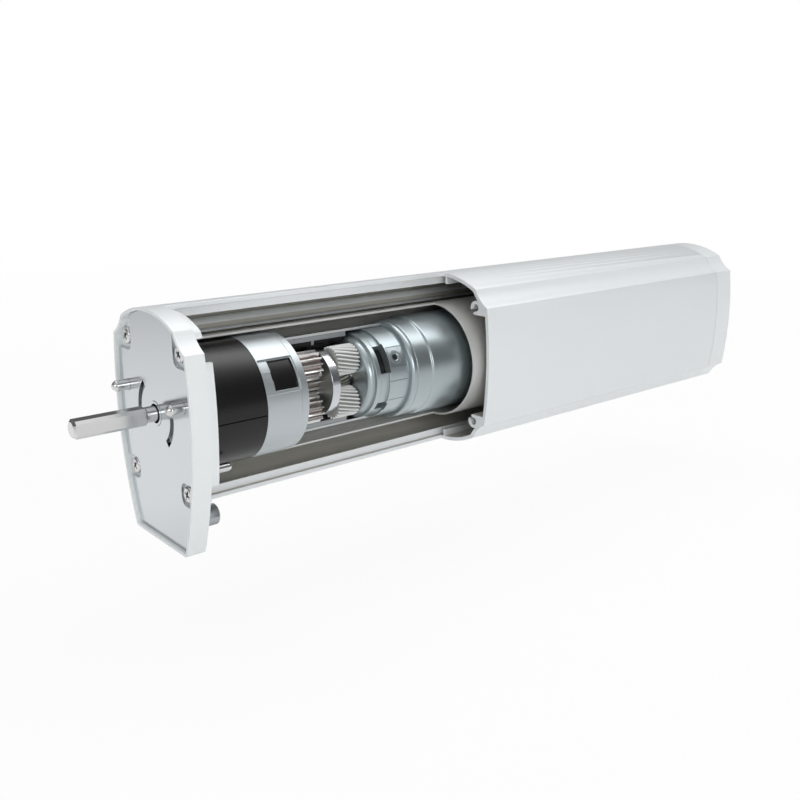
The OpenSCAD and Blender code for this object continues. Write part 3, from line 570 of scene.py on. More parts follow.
def extruded(name, colour, inside, roughness, metallic=0.1):
    """Anodised extrusion: pale and even outside, with faint die lines along X. The faces that look towards
    the axis take the inside colour instead, painted light and shade that stands for how the shaded inside
    looks. A face looks inwards where its normal points against its place across X."""
    finish = Finish(name, colour, metallic, roughness, coat_weight=0.1, coat_roughness=0.3)
    spoke = finish.vector("NORMALIZE", finish.scaled(0, 1, 1))
    inwards = finish.vector("DOT_PRODUCT", finish.normal(), spoke, out="Value") < -0.3
    lines = finish.noise(700, 3, stretch=(0.02, 1.0, 1.0))
    pale = finish.mixed((lines * 0.35 + finish.clouds(16) * 0.65).clamped(), colour, dimmed(colour, 0.04))
    # Painted light and shade on the inner faces, with the die lines on it
    painted_inside = finish.mixed((lines * 1.6 - 0.3).clamped(), inside, dimmed(inside, 0.2))
    finish.shade("Base Color", finish.mixed(inwards, pale, painted_inside))
    finish.shade("Metallic", inwards * -metallic + metallic)
    finish.roughened(lines, 0.08)
    finish.bumped(lines, 0.06)
    return finish.material


def toothed(name, colour, groove, end, roughness, metallic, grain):
    """Finish of the gears and the screws, with painted shade: darker towards the roots of the teeth or the
    bottom of the cross, where depth is 1, and duller and greyer on the faces that look along X, where the
    shade of the end faces is painted in."""
    finish = Finish(name, colour, metallic, roughness)
    depth = finish.node("ShaderNodeAttribute", {"attribute_name": "depth"}, out="Fac")
    lines = finish.noise(900, 3, stretch=grain)
    # Painted shade: the groove colour towards the roots and recesses, the end colour on the end faces
    flank = finish.mixed((depth ** 1.5 * 0.9 + lines * 0.1).clamped(), colour, groove)
    finish.shade("Base Color", finish.mixed(finish.ends(), flank, end))
    finish.roughened(lines, roughness * 0.3)
    finish.bumped(lines, 0.15)
    return finish.material


def rimmed(name, colour, face, roughness, dull):
    """Turned disc: bright round its rim, dull on the faces that look along X."""
    finish = Finish(name, colour, 1.0, roughness)
    ends = finish.ends()
    rings = finish.noise(1500)
    rim = finish.mixed(rings, colour, dimmed(colour, 0.04))
    finish.shade("Base Color", finish.mixed(ends, rim, face))
    finish.shade("Roughness", ends * (dull - roughness) + roughness)
    finish.bumped(rings, 0.1)
    return finish.material


FINISHES = {}


def make_finishes(colours):
    """Every finish of the drive, by the slot that it belongs to or by the piece that needs its own."""
    along = (1.0, 14.0, 14.0)
    round_axis = (14.0, 1.0, 1.0)
    FINISHES.update({
        # The housing's inside colour is painted shade on its inner faces
        "anodised_profile": extruded("Anodised profile", colours.housing, colours.inside, 0.36),
        "cast_cap": lacquered("Cast cap", colours.cap, 0.36, 0.1),
        "polished_plate": satin("Polished plate", colours.plate, 0.16, 0.03),
        "bright_steel": brushed("Bright steel", colours.steel, 0.18, round_axis, 0.05),
        # The screws' near black groove colour is painted shade in their cross recesses
        "front_screws": toothed("Screw steel", colours.steel, (0.05, 0.05, 0.045), colours.steel, 0.22, 0.95,
                                round_axis),
        "knob_metal": satin("Knob metal", colours.knob, 0.32, 0.08),
        "black_cover": moulded("Black cover", colours.cover, 0.26, 0.2, specular_ior_level=0.4),
        "silver_ring": satin("Silver ring", colours.ring, 0.38, 0.04),
        "motor_front": satin("Motor front", colours.front, 0.32, 0.05, 0.85),
        "boss_plate": satin("Boss plate", colours.front, 0.35, 0.05),
        "grey_sleeve": satin("Grey sleeve", colours.sleeve, 0.4, 0.08),
        "ring_spacer": satin("Spacer", colours.sleeve, 0.5, 0.08),
        "black_gear": moulded("Black ring gear", colours.cover, 0.42, 0.2, specular_ior_level=0.3),
        # Painted shade for the steel and white gears: the groove colour in the roots, the end colour on the
        # end faces
        "gear_steel": toothed("Gear steel", colours.gear, (0.34, 0.29, 0.27), (0.30, 0.30, 0.29), 0.24, 0.85,
                              along),
        "white_gear": toothed("White gear", colours.white_gear, (0.24, 0.25, 0.24), (0.46, 0.46, 0.43), 0.35,
                              0.0, None),
        "brown_gear": brushed("Pinion", colours.pinion, 0.42, along, 0.1),
        "can_steel": satin("Can steel", colours.can, 0.31, 0.05, 0.92),
        "core_iron": brushed("Core iron", colours.core, 0.5, round_axis, 0.15),
        "copper": brushed("Copper", colours.copper, 0.3, round_axis, 0.15),
        "black_plastic": moulded("Black plastic", colours.cover, 0.5, 0.2),
        "rubber": moulded("Rubber", colours.cover, 0.7, 0.2),
        "board_green": moulded("Board green", colours.board, 0.3, 0.15),
        "parts_blue": moulded("Blue parts", colours.parts, 0.25, 0.05),
        "transformer_yellow": moulded("Transformer tape", colours.tape, 0.25, 0.08),
        # The drive tube's inner faces get a paler colour of their own, painted light and shade
        "inner_tube": extruded("Inner tube", colours.tube, (0.72, 0.72, 0.69), 0.4, 0.3),
        "gearbox_tube": satin("Gearbox tube", colours.gearbox, 0.3, 0.05),
        "carrier_disc": rimmed("Turned disc", colours.disc, (0.42, 0.44, 0.42), 0.2, 0.5),
    })


def finish_for(node):
    """The node's own finish where it has one, or its slot's."""
    return FINISHES.get(node) or FINISHES[SLOT_OF[node]]


# Sizes and colours that a user would change

def length(name, description, default, low=0.0):
    """Length in metres, of which the default is given in millimetres."""
    return bpy.props.FloatProperty(name=name, description=description, default=default * MM, unit="LENGTH",
                                   min=low, precision=5)


def count(name, description, default):
    """Number of teeth."""
    return bpy.props.IntProperty(name=name, description=description, default=default, min=3)


def angle(name, description, default):
    """Angle, of which the default is given in degrees."""
    return bpy.props.FloatProperty(name=name, description=description, default=math.radians(default),
                                   subtype="ANGLE")


def colour(name, description, default):
    """Red, green and blue, from 0 to 1."""
    return bpy.props.FloatVectorProperty(name=name, description=description, default=default, subtype="COLOR",
                                         size=3, min=0.0, max=1.0)


class DriveSizes(bpy.types.PropertyGroup):
    """Sizes of the pieces that are made here."""
    orbit: length("Planet orbit", "Distance of the planets' axes from the drive axis", 9.57)
    out_planet_teeth: count("Output planet teeth", "Teeth of a planet of the output stage", 14)
    out_sun_teeth: count("Output sun teeth", "Teeth of the sun of the output stage", 13)
    in_planet_teeth: count("Input planet teeth", "Teeth of a planet of the input stage", 22)
    in_sun_teeth: count("Input sun teeth", "Teeth of the pinion on the motor shaft", 17)
    in_twist: angle("Helix", "Turn of an input planet from end to end", 27.5)
    pin_radius: length("Planet pin radius", "Radius of the pins that the planets run on", 1.5)
    tube_ledge: length("Tube cut", "Place of the cut through the near half of the drive tube", 128.8)
    square: length("Drive square", "Width across the flats of the drive end", 6.0)
    square_cut: length("Square chamfer", "Width of the cuts on the corners of the drive end", 1.0)
    neck: length("Neck radius", "Radius of the shaft's neck", 2.75)
    guide_pin: length("Guide pin radius", "Radius of a guide pin's free end", 2.0)
    screw_head: length("Screw head radius", "Radius of a cap screw's head", 3.0)
    screw_height: length("Screw head height", "Height of a cap screw's head", 1.65)


class DriveColours(bpy.types.PropertyGroup):
    """Colours of the finishes."""
    housing: colour("Housing", "Extruded housing", (0.84, 0.87, 0.88))
    # Colour of the housing's inner faces, which is painted shade
    inside: colour("Inside, painted shade", "Inner faces of the housing and the drive tube", (0.57, 0.56, 0.51))
    gearbox: colour("Gearbox tube", "Opened tube round the gears", (0.55, 0.57, 0.57))
    cap: colour("Caps", "Front and rear cap", (0.87, 0.905, 0.91))
    plate: colour("Face plate", "Polished face plate", (0.64, 0.67, 0.69))
    steel: colour("Steel", "Pins, screws and shaft", (0.72, 0.72, 0.72))
    knob: colour("Knob", "Locking knob", (0.50, 0.53, 0.55))
    cover: colour("Black pieces", "Gearbox cover and other black pieces", (0.005, 0.005, 0.005))
    ring: colour("Window ring", "Silver ring behind the gearbox cover", (0.53, 0.57, 0.59))
    sleeve: colour("Sleeve", "Cut sleeve round the ring gears", (0.34, 0.36, 0.37))
    gear: colour("Steel gears", "Gears of the output stage", (0.84, 0.83, 0.82))
    white_gear: colour("White gears", "Planets of the input stage", (0.88, 0.89, 0.88))
    disc: colour("Turned disc", "Rim of the disc between the two stages", (0.64, 0.66, 0.69))
    pinion: colour("Pinion", "Pinion on the motor shaft", (0.46, 0.45, 0.40))
    can: colour("Motor can", "Motor can", (0.44, 0.50, 0.52))
    front: colour("Motor front", "Front body of the motor and the plate on it", (0.45, 0.51, 0.53))
    core: colour("Iron", "Magnets and armature", (0.15, 0.15, 0.16))
    copper: colour("Copper", "Windings and commutator", (0.60, 0.27, 0.13))
    board: colour("Board", "Control board and its terminals", (0.02, 0.16, 0.06))
    parts: colour("Blue parts", "Relays and capacitor", (0.03, 0.08, 0.30))
    tape: colour("Tape", "Tape round the transformer", (0.60, 0.42, 0.05))
    tube: colour("Inner tube", "Tube that carries the drive", (0.62, 0.62, 0.61))


class StageSettings(bpy.types.PropertyGroup):
    """Camera and floor."""
    eye: bpy.props.FloatVectorProperty(name="Camera place", description="Where the camera stands",
                                       default=(-0.13344, -0.28861, 0.08983), subtype="TRANSLATION")
    azimuth: angle("Camera azimuth", "Turn of the view from +Y towards -X", -40.148)
    fall: angle("Camera fall", "How far the camera looks down", 15.474)
    lens: bpy.props.FloatProperty(name="Lens", description="Focal length on a 36 mm sensor", default=42.426,
                                  unit="CAMERA")
    floor_height: length("Floor", "Height of the floor", -75.0, -1.0)


# Pieces

class PieceOperator(bpy.types.Operator):
    """Base of the operators that make pieces of the drive."""
    bl_options = {"REGISTER", "UNDO"}

    def execute(self, context):
        self.make(context.scene.drive_sizes)
        return {"FINISHED"}


class DRIVE_OT_output_planets(PieceOperator):
    """Makes the three steel planets of the output stage"""
    bl_idname = "drive.output_planets"
    bl_label = "Output planets"

    def make(self, sizes):
        gear = Toothing(sizes, sizes.out_planet_teeth, sizes.out_sun_teeth, 8)
        gear.planets(sizes, "output_planet_", "steel_planet_", 0, 0.18)


class DRIVE_OT_input_planets(PieceOperator):
    """Makes the three white helical planets of the input stage"""
    bl_idname = "drive.input_planets"
    bl_label = "Input planets"

    def make(self, sizes):
        gear = Toothing(sizes, sizes.in_planet_teeth, sizes.in_sun_teeth, 6)
        # Inset, so that their ends don't lie in one plane with the ring's
        gear.planets(sizes, "input_planet_", "white_planet_", math.degrees(sizes.in_twist), 0.15, 16, 0.02)


class DRIVE_OT_pinion(PieceOperator):
    """Makes the helical pinion of the motor shaft"""
    bl_idname = "drive.pinion"
    bl_label = "Motor pinion"

    def make(self, sizes):
        gear = Toothing(sizes, sizes.in_sun_teeth, sizes.in_planet_teeth, 6)
        start, end = (corner.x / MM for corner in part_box("motor_pinion"))
        twist = -math.degrees(sizes.in_twist) * gear.other_teeth / gear.teeth
        shaft_hole = 2.52
        grid = gear_grid(gear.loop(), start, end, 0, twist, shaft_hole, 0.12, 16)
        settle(Form().shell(grid, wrap_rows=True).build("pinion"), "motor_pinion")


class DRIVE_OT_sun(PieceOperator):
    """Makes the steel sun of the output stage with its stub"""
    bl_idname = "drive.sun"
    bl_label = "Output sun"

    def make(self, sizes):
        gear = Toothing(sizes, sizes.out_sun_teeth, sizes.out_planet_teeth, 8)
        angles, radii = gear.loop()
        stub, end = (corner.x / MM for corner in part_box("output_sun"))
        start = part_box("output_planet_a")[0].x / MM
        chamfer, radius = 0.15, 2.0
        lowered = np.array([chamfer, 0.0, 0.0])[:, None]
        form = Form().shell(loops_along([start, start + chamfer, end], angles[None], radii - lowered))
        form.shell(turned([(stub, radius - 0.2), (stub + 0.2, radius), (start + 0.5, radius)], 48))
        piece = form.build("steel_sun")
        y, z = np.array([point.co.yz for point in piece.data.vertices]).T / MM
        settle(marked(piece, gear.depth(y, z)), "output_sun")


class DRIVE_OT_drive_shaft(PieceOperator):
    """Makes the square drive end, its neck and the shaft behind it"""
    bl_idname = "drive.drive_shaft"
    bl_label = "Drive shaft"

    def make(self, sizes):
        half, cut, neck = sizes.square / MM / 2, sizes.square_cut / MM, sizes.neck / MM
        low, high = (corner.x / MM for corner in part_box("output_shaft"))
        corner = math.atan2(half - cut, half)
        quarter = np.concatenate([np.linspace(-math.pi / 4 + 0.02, -corner - 0.01, 4), [-corner],
                                  np.linspace(-corner + 0.01, corner - 0.01, 12), [corner],
                                  np.linspace(corner + 0.01, math.pi / 4, 4)])
        angles = (np.arange(4)[:, None] * math.pi / 2 + quarter).ravel()
        flat = squared(angles, half, cut)
        small = np.minimum(flat, half - 0.45)
        thin = np.full(len(angles), neck)
        # The square tapers at its free end, ends in a shoulder at x = -2.8 and goes on as the neck
        ends = [(low, small - 0.25), (low, small), (low + 0.75, flat), (-3.3, flat), (-2.85, flat - 0.3),
                (-2.8, flat - 0.4), (-2.8, thin + 0.1), (-2.75, thin), (10.5, thin)]
        form = Form().shell(loops_along([x for x, _ in ends], angles[None], np.array([r for _, r in ends])))
        journal, flange, thickness = 4.0, 6.0, 1.8
        form.shell(turned([(10.4, neck - 0.05), (11.5, journal), (19.0, journal), (19.3, flange),
                           (high - thickness, flange), (high - thickness, journal), (high, journal)], 64))
        settle(form.build("drive_shaft", 20), "output_shaft")


class DRIVE_OT_pins(PieceOperator):
    """Makes the guide pins and the domed locating pin"""
    bl_idname = "drive.pins"
    bl_label = "Guide and locating pins"

    def make(self, sizes):
        low, high = (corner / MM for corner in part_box("guide_pins"))
        radius, start, end, seat = sizes.guide_pin / MM, low.x, high.x, 1.25
        # Rounded free end, the body, and the foot that sits in the plate
        profile = [(start, radius * 0.5 - 0.1), (start + 0.04, radius * 0.5), (start + 1.2, radius - 0.07),
                   (start + 1.35, radius - 0.01), (start + 1.5, radius), (seat, radius), (seat, radius - 0.1),
                   (end, radius - 0.1)]
        form = Form()
        for side in (-1, 1):
            form.shell(moved(turned(profile, 64), side * (high.y - radius), (low.z + high.z) / 2))
        settle(form.build("round_guide_pins", 50), "guide_pins")
        low, high = (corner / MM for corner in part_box("locating_pin"))
        radius, centre = (high.y - low.y) / 2, (low + high) / 2
        dome = np.radians(np.linspace(0, 88, 14))
        profile = [(low.x, radius)]
        profile += [(high.x - radius + radius * math.sin(a), radius * math.cos(a)) for a in dome]
        form = Form().shell(moved(turned(profile, 48), centre.y, centre.z))
        settle(form.build("domed_pin", 60), "locating_pin")


class DRIVE_OT_screws(PieceOperator):
    """Makes the cap screws of both caps with their cross recesses"""
    bl_idname = "drive.screws"
    bl_label = "Cap screws"

    def make(self, sizes):
        head, height = sizes.screw_head / MM, sizes.screw_height / MM
        for node, name, facing in (("front_screws", "front_cap_screws", 1),
                                   ("rear_screws", "rear_cap_screws", -1)):
            low, high = (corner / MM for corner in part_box(node))
            across, up = high.y - head, high.z - head
            seat = low.x + height if facing > 0 else high.x - height
            form = Form()
            for k, (side, level) in enumerate(((-1, -1), (-1, 1), (1, -1), (1, 1))):
                # The near front screws are short, because the housing is cut away behind them
                length = 6.5 if facing > 0 and side < 0 else high.x - low.x - height - 0.05
                grid = screw(head - 0.01, height, 1.49, length, math.radians(25 + 9 * k))
                form.shell(moved(grid * (facing, 1, 1), side * across, level * up, seat))
            piece = form.build(name, 26)
            x, y, z = np.array([point.co for point in piece.data.vertices]).T / MM
            # Depth in the recess: 1 half the head's height under its face, within the reach of the cross
            rise = abs(x - seat)
            recess = (np.hypot(abs(y) - across, abs(z) - up) < 0.61 * head) * (rise < height)
            depth = np.clip((height - rise) / (0.5 * height) * recess, 0, 1)
            # The finish paints shade into the cross by this depth
            settle(marked(piece, depth), node, FINISHES["front_screws"])


class DRIVE_OT_gearbox_cover(PieceOperator):
    """Makes the black cover with its joint line and the silver ring with its window"""
    bl_idname = "drive.gearbox_cover"
    bl_label = "Gearbox cover and window ring"

    def make(self, sizes):
        low, high = (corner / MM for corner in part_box("gearbox_cover"))
        start, end = (corner.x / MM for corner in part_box("window_ring"))
        radius, joint = high.y, (183.9, 184.7)
        # Along X: the wall round the shaft, round the bearing, the open part, and the lip under the ring
        xs = [low.x, 12.0, 19.0, start, high.x]
        # Outwards: round the shaft, round the bearing, the wall, and the skin that the joint line is cut in
        radii = [4.3, 11.02, 17.5, radius - 1.4, radius]
        angles = lines_round(*joint)
        kept = np.ones((4, len(angles), 4), bool)
        kept[1, :, 0] = False
        kept[2:, :, :2] = False
        kept[3, :, 3] = False
        kept[:3, between(np.append(angles, 360), *joint), 3] = False
        form = Form().blocks(xs, angles, radii, kept)
        settle(eased(form.build("black_cover"), 0.12), "gearbox_cover")
        # Angles of the recess, of the window in it and of the gap beside the window
        recess, window, gap = (133, 167), (134, 164), (146, 154)
        angles = lines_round(*recess, *window, *gap)
        edges = np.append(angles, 360)
        # Along X: the gap, the window and the rest of the recess, the step at the shoulder and the rim
        shoulder = end - 2.9
        xs = np.array([start, start + 0.4, start + 4.3, shoulder - 0.5, shoulder - 0.3, shoulder,
                       shoulder + 0.1, end - 1.6, end])
        outer = radius - np.array([0] * 5 + [0.3, 0.4, 0.4, 0.4])
        # Outwards: the rim's inner part, the ring's body, the bottom of the gap and the skin
        kept = np.ones((8, len(angles), 4), bool)
        kept[:7, :, 0] = False
        kept[1:6, between(edges, *recess), 3] = False
        kept[1:2, between(edges, *gap), 2] = False
        kept[2:3, between(edges, *window)] = False
        form = Form().blocks(xs, angles, [16.2, radius - 1.35, radius - 1.15, radius - 0.75, outer], kept)
        settle(eased(form.build("silver_window_ring"), 0.07), "window_ring")


class DRIVE_OT_motor_front(PieceOperator):
    """Makes the motor's front body with its slots, grooves and boss recess"""
    bl_idname = "drive.motor_front"
    bl_label = "Motor front body"

    def make(self, sizes):
        low, high = (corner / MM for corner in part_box("motor_front"))
        start, radius = low.x, high.z
        neck, collar = radius - 2.3, radius - 1.05
        # Places along X from the front end: where the cavity, the collar's groove and the drum begin, and
        # where the slots, the recess for the plate, the well under its hole, the joints and the body end
        cavity, groove, drum, slot_end = 2.9, 5.0, 8.65, 9.2
        boss_x, well_x, joint_end, end = (9.8, 17.7), (11.75, 14.05), 17.1, 18.3
        # Outline from the rounded nose over the neck and the collar to the drum
        bow = np.radians(np.arange(0, 91, 15))
        outline = [(2 - 2 * math.cos(a), neck - 1.9 + 1.9 * math.sin(a)) for a in bow]
        outline += [(2.5, neck), (2.6, neck + 0.1), (2.85, collar - 0.1), (2.95, collar),
                    (groove - 0.1, collar), (groove, collar - 0.15), (groove + 0.1, collar),
                    (drum - 0.45, collar), (drum - 0.3, collar + 0.15), (drum - 0.15, radius - 0.15)]
        outline += [(x, radius) for x in (drum, slot_end, boss_x[0], *well_x, joint_end, boss_x[1], end)]
        xs, outer = np.array(outline).T
        # Angles between which the same things lie, from +Y
        slots = [(130, 169.2), (212, 225), (310, 349.2), (32, 45)]
        joints = [(180.1, 180.7), (206.2, 206.8)]
        boss, well = (136.5, 163.6), (146.8, 154.2)
        angles = lines_round(*np.ravel(slots), *np.ravel(joints), *boss, *well)
        edges = np.append(angles, 360)
        # Layers: the shield in the pinion's hole, the wall, and the skin that the recesses are cut in
        shield = np.where(xs < 0.5, 5.4, 2.8)
        bore = np.where(xs < cavity, 9.0, 14.2)
        floor = np.where(xs < drum - 0.2, outer - 0.4, radius - 0.6)
        kept = np.ones((len(xs) - 1, len(angles), 3), bool)
        kept[between(xs, cavity, end), :, 0] = False
        for pair in slots:
            kept[np.ix_(between(xs, groove, slot_end), between(edges, *pair))] = False
        for pair in joints:
            kept[np.ix_(between(xs, drum, joint_end), between(edges, *pair), [2])] = False
        kept[np.ix_(between(xs, *boss_x), between(edges, *boss), [2])] = False
        kept[np.ix_(between(xs, *well_x), between(edges, *well))] = False
        form = Form().blocks(start + xs, angles, [shield, bore, floor, outer], kept)
        settle(eased(form.build("motor_front_body"), 0.06), "motor_front")
        plate = self.plate(start + sum(well_x) / 2, sum(well) / 2, radius, (4.7, 3.94, 3.0, 4.22))
        settle(Form().shell(plate, wrap_rows=True).build("screw_boss_plate"), "boss_plate")

    def plate(self, x, angle, radius, sides):
        """Curved plate with a round hole: loops round the hole's axis at x and angle, on the drum of that
        radius. The outline lies at the lesser of side / cos a and side / sin a, the sides being given in
        turn from +X, and the other loops are circles round the hole."""
        ahead, up, back, down = sides
        corners = np.arctan2([up, up, -down, -down], [ahead, -back, -back, ahead])
        turn = np.unique(np.concatenate([np.linspace(-math.pi, math.pi, 96, endpoint=False), corners]))
        cosine, sine = np.cos(turn), np.sin(turn)
        rim = np.minimum(np.where(cosine > 0, ahead, back) / np.maximum(abs(cosine), 1e-9),
                         np.where(sine > 0, up, down) / np.maximum(abs(sine), 1e-9))
        # Reach and depth of each loop: the rim, the ring groove, the countersink and the hole
        loops = [(rim, 0.55), (rim, 0.14), (rim - 0.06, 0.06), (2.75, 0.06), (2.68, 0.13), (2.55, 0.13),
                 (2.48, 0.06), (1.6, 0.06), (1.5, 0.09), (1.3, 0.28), (1.3, 0.55)]
        away = np.array([np.broadcast_to(reach, turn.shape) for reach, _ in loops])
        height = radius - np.array([depth for _, depth in loops])[:, None]
        around = math.radians(angle) + away * sine / radius
        return np.stack([x + away * cosine, height * np.cos(around), height * np.sin(around)], -1)


class DRIVE_OT_tubes(PieceOperator):
    """Makes the motor can, the drive tube, the gearbox tube and the sleeve in it"""
    bl_idname = "drive.tubes"
    bl_label = "Can and tubes"

    def make(self, sizes):
        self.can()
        self.drive_tube(sizes.tube_ledge / MM)
        self.half_tube("gearbox_tube", "open_gearbox_tube", wall=1.0)
        self.half_tube("ring_sleeve", "open_sleeve", inner=16.15)

    def can(self):
        """Turned can with a rounded edge in front."""
        low, high = (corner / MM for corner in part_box("motor_can"))
        start, end, radius = low.x, high.x, high.y
        front, bow, wall, hole = radius - 0.6, 1.3, 1.4, 6.54
        profile = [(start, hole)]
        profile += [(start + bow - bow * math.cos(a), front - bow + bow * math.sin(a))
                    for a in np.radians(np.linspace(0, 90, 8))]
        # Place and rise of each point: a groove close to the front, then a smooth step up to the drum
        profile += [(start + x, front + rise) for x, rise in (
            (1.6, 0), (2.5, 0), (2.6, -0.04), (2.7, -0.2), (2.8, -0.2), (2.9, -0.04), (3.0, 0), (3.3, 0),
            (9.6, 0), (9.9, 0), (10.1, 0.06), (10.3, 0.24), (10.45, 0.44), (10.65, 0.56), (10.9, 0.6),
            (11.3, 0.6))]
        profile += [(end - 0.2, radius), (end, radius - 0.2), (end, radius - wall),
                    (start + 2, radius - wall), (start + 2, hole)]
        form = Form().shell(turned(profile, 180), wrap_rows=True)
        settle(form.build("motor_can_shell", 50), "motor_can")

    def drive_tube(self, ledge):
        """Tube whose near half is cut away in front of the ledge."""
        low, high = (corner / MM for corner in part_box("inner_tube"))
        xs = np.concatenate([np.linspace(low.x, ledge, 13), np.linspace(ledge, high.x, 13)[1:]])
        angles = lines_round(90, 270)
        kept = np.ones((24, len(angles), 1), bool)
        kept[:12, between(np.append(angles, 360), 90, 270)] = False
        form = Form().blocks(xs, angles, [high.y - 0.8, high.y], kept)
        settle(eased(form.build("drive_tube"), 0.12), "inner_tube")

    def half_tube(self, node, name, wall=None, inner=None):
        """Far half of a tube, of which the wall or the inner radius is given."""
        low, high = (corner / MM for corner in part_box(node))
        angles = lines_round(start=-90.0, stop=90.0)
        kept = np.ones((8, len(angles) - 1, 1), bool)
        form = Form().blocks(np.linspace(low.x, high.x, 9), angles, [inner or high.y - wall, high.y], kept)
        settle(eased(form.build(name), 0.1), node)


class DRIVE_OT_softened(bpy.types.Operator):
    """Rounds the edges of the pieces that keep their CAD form"""
    bl_idname = "drive.softened"
    bl_label = "Softened pieces"

    def execute(self, context):
        for node, width in SOFT_EDGES.items():
            settle(softened(node, "soft_" + node, width), node)
        return {"FINISHED"}


class DRIVE_OT_finish_nodes(bpy.types.Operator):
    """Gives every CAD node its finish"""
    bl_idname = "drive.finish_nodes"
    bl_label = "Finish the nodes"

    def execute(self, context):
        for node, piece in NODES.items():
            piece.data.materials.clear()
            piece.data.materials.append(finish_for(node))
            piece.data.shade_smooth()
            piece.data.set_sharp_from_angle(angle=math.radians(30))
        return {"FINISHED"}


def lamp(name, place, aim, size, power):
    """Rectangular soft light of size metres that stands at place and looks at aim."""
    light = bpy.data.lights.new(name, "AREA")
    light.shape = "RECTANGLE"
    light.size, light.size_y = size
    light.energy = power
    stand = bpy.data.objects.new(name, light)
    bpy.context.scene.collection.objects.link(stand)
    stand.location = place
    stand.rotation_mode = "QUATERNION"
    stand.rotation_quaternion = Vector(np.subtract(aim, place)).to_track_quat("-Z", "Y")


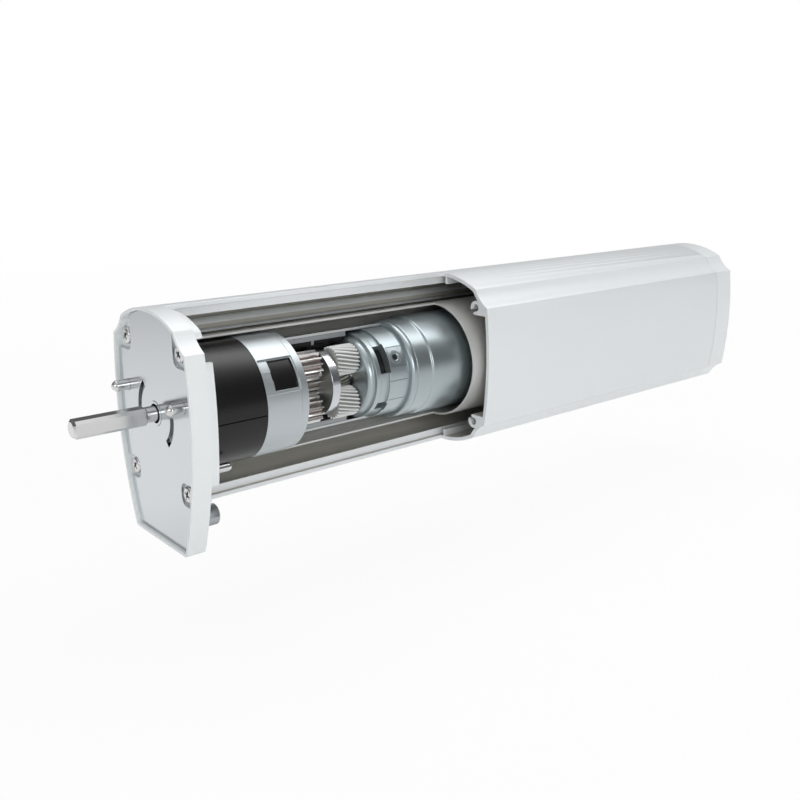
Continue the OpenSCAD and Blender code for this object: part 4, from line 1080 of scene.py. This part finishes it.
class DRIVE_OT_stage(bpy.types.Operator):
    """Makes the floor, the lights, the white background and the camera"""
    bl_idname = "drive.stage"
    bl_label = "Stage"

    def execute(self, context):
        scene = context.scene
        stage = scene.drive_stage
        self.camera(scene, stage)
        self.floor(stage)
        self.background(scene)
        lamp("Top light", (0.4, 0.2, 0.88), (0.15, 0, 0), (1.7, 0.3), 4.7)
        lamp("Front light", (-0.9, -0.3, 0.35), (0.1, 0, 0), (0.6, 0.5), 1.6)
        lamp("Side light", (-0.1, -1.0, 0.3), (0.15, 0, 0), (0.9, 0.4), 3.8)
        scene.view_settings.view_transform = "Standard"
        return {"FINISHED"}

    def camera(self, scene, stage):
        lens = bpy.data.cameras.new("Camera")
        lens.lens = stage.lens
        lens.sensor_width = 36
        lens.clip_start = 0.01
        eye = bpy.data.objects.new("Camera", lens)
        scene.collection.objects.link(eye)
        eye.location = stage.eye
        turn, fall = stage.azimuth, stage.fall
        forward = (-math.sin(turn) * math.cos(fall), math.cos(turn) * math.cos(fall), -math.sin(fall))
        eye.rotation_mode = "QUATERNION"
        eye.rotation_quaternion = Vector(forward).to_track_quat("-Z", "Y")
        scene.camera = eye

    def floor(self, stage):
        """Floor that looks all but white to the camera, least so near the part, where its shadow shows. In
        mirror images it glows round the part, less with the distance, less in front and not right below."""
        side = 6.0
        corners = [(x * side, y * side, stage.floor_height) for x, y in ((-1, -1), (1, -1), (1, 1), (-1, 1))]
        mesh = bpy.data.meshes.new("Floor")
        mesh.from_pydata(corners, [], [(0, 1, 2, 3)])
        floor = bpy.data.objects.new("Floor", mesh)
        bpy.context.scene.collection.objects.link(floor)
        finish = Finish("Pale floor", (0.85, 0.85, 0.85), 0.0, 0.9)
        glow = finish.node("ShaderNodeEmission", {}, Color=(1, 1, 1, 1), Strength=1.0, out="Emission")
        away = finish.vector("LENGTH", finish.place, out="Value")
        back = (finish.part(finish.place, "Y") * 9 + 1.35).clamped()
        patch = (1.5 - away * 2.2).clamped() * back * (away * 12 - 0.65).clamped()
        seen = finish.ray("Camera") * ((away * 0.9).clamped() * 0.1 + 0.9)
        mask = (seen + finish.ray("Glossy") * patch * 0.95).clamped()
        shown = finish.node("ShaderNodeMixShader", {}, mask, finish.shader.outputs[0], glow)
        finish.feed(finish.tree.nodes["Material Output"].inputs["Surface"], shown)
        mesh.materials.append(finish.material)

    def background(self, scene):
        """Plain white where the camera looks past everything. The rest is lit by a grey sky, whose brightness
        goes by the height of the direction, from 0 at the horizon to 1 overhead."""
        scene.world = bpy.data.worlds.new("Studio")
        scene.world.use_nodes = True
        world = NodeTree(scene.world.node_tree)
        direction = world.node("ShaderNodeTexCoord", {}, out="Generated")
        sky = world.node("ShaderNodeValToRGB", {}, world.part(direction, "Z"))
        ramp = sky.socket.node.color_ramp
        for position, level in ((0.03, 0.3), (0.1, 0.08), (0.5, 0.16), (0.75, 0.5)):
            ramp.elements.new(position).color = (level, level, level * 1.02, 1)
        ramp.elements[0].color = (0.7, 0.7, 0.7, 1)
        ramp.elements[-1].position = 0.93
        grey = world.tree.nodes["Background"]
        world.feed(grey.inputs["Color"], sky)
        white = world.node("ShaderNodeBackground", {}, (1, 1, 1, 1))
        shown = world.node("ShaderNodeMixShader", {}, world.ray("Camera"), grey.outputs[0], white)
        world.feed(world.tree.nodes["World Output"].inputs["Surface"], shown)


class DRIVE_PT_panel(bpy.types.Panel):
    """Lists the drive's operators and settings"""
    bl_idname = "DRIVE_PT_panel"
    bl_label = "Drive motor"
    bl_space_type = "VIEW_3D"
    bl_region_type = "UI"
    bl_category = "Drive motor"

    def draw(self, context):
        for piece in PIECES:
            self.layout.operator(piece.bl_idname)
        for group in (context.scene.drive_sizes, context.scene.drive_colours, context.scene.drive_stage):
            column = self.layout.column()
            for name in group.bl_rna.properties.keys():
                if name not in {"rna_type", "name"}:
                    column.prop(group, name)


PIECES = (DRIVE_OT_finish_nodes, DRIVE_OT_softened, DRIVE_OT_output_planets, DRIVE_OT_input_planets,
          DRIVE_OT_pinion, DRIVE_OT_sun, DRIVE_OT_drive_shaft, DRIVE_OT_pins, DRIVE_OT_screws,
          DRIVE_OT_gearbox_cover, DRIVE_OT_motor_front, DRIVE_OT_tubes, DRIVE_OT_stage)
CLASSES = (DriveSizes, DriveColours, StageSettings, *PIECES, DRIVE_PT_panel)


def register():
    for cls in CLASSES:
        bpy.utils.register_class(cls)
    bpy.types.Scene.drive_sizes = bpy.props.PointerProperty(type=DriveSizes)
    bpy.types.Scene.drive_colours = bpy.props.PointerProperty(type=DriveColours)
    bpy.types.Scene.drive_stage = bpy.props.PointerProperty(type=StageSettings)


def unregister():
    del bpy.types.Scene.drive_stage, bpy.types.Scene.drive_colours, bpy.types.Scene.drive_sizes
    for cls in reversed(CLASSES):
        bpy.utils.unregister_class(cls)


def main():
    register()
    make_finishes(bpy.context.scene.drive_colours)
    for piece in PIECES:
        getattr(bpy.ops.drive, piece.bl_idname.split(".")[1])()


if __name__ == "__main__":
    main()
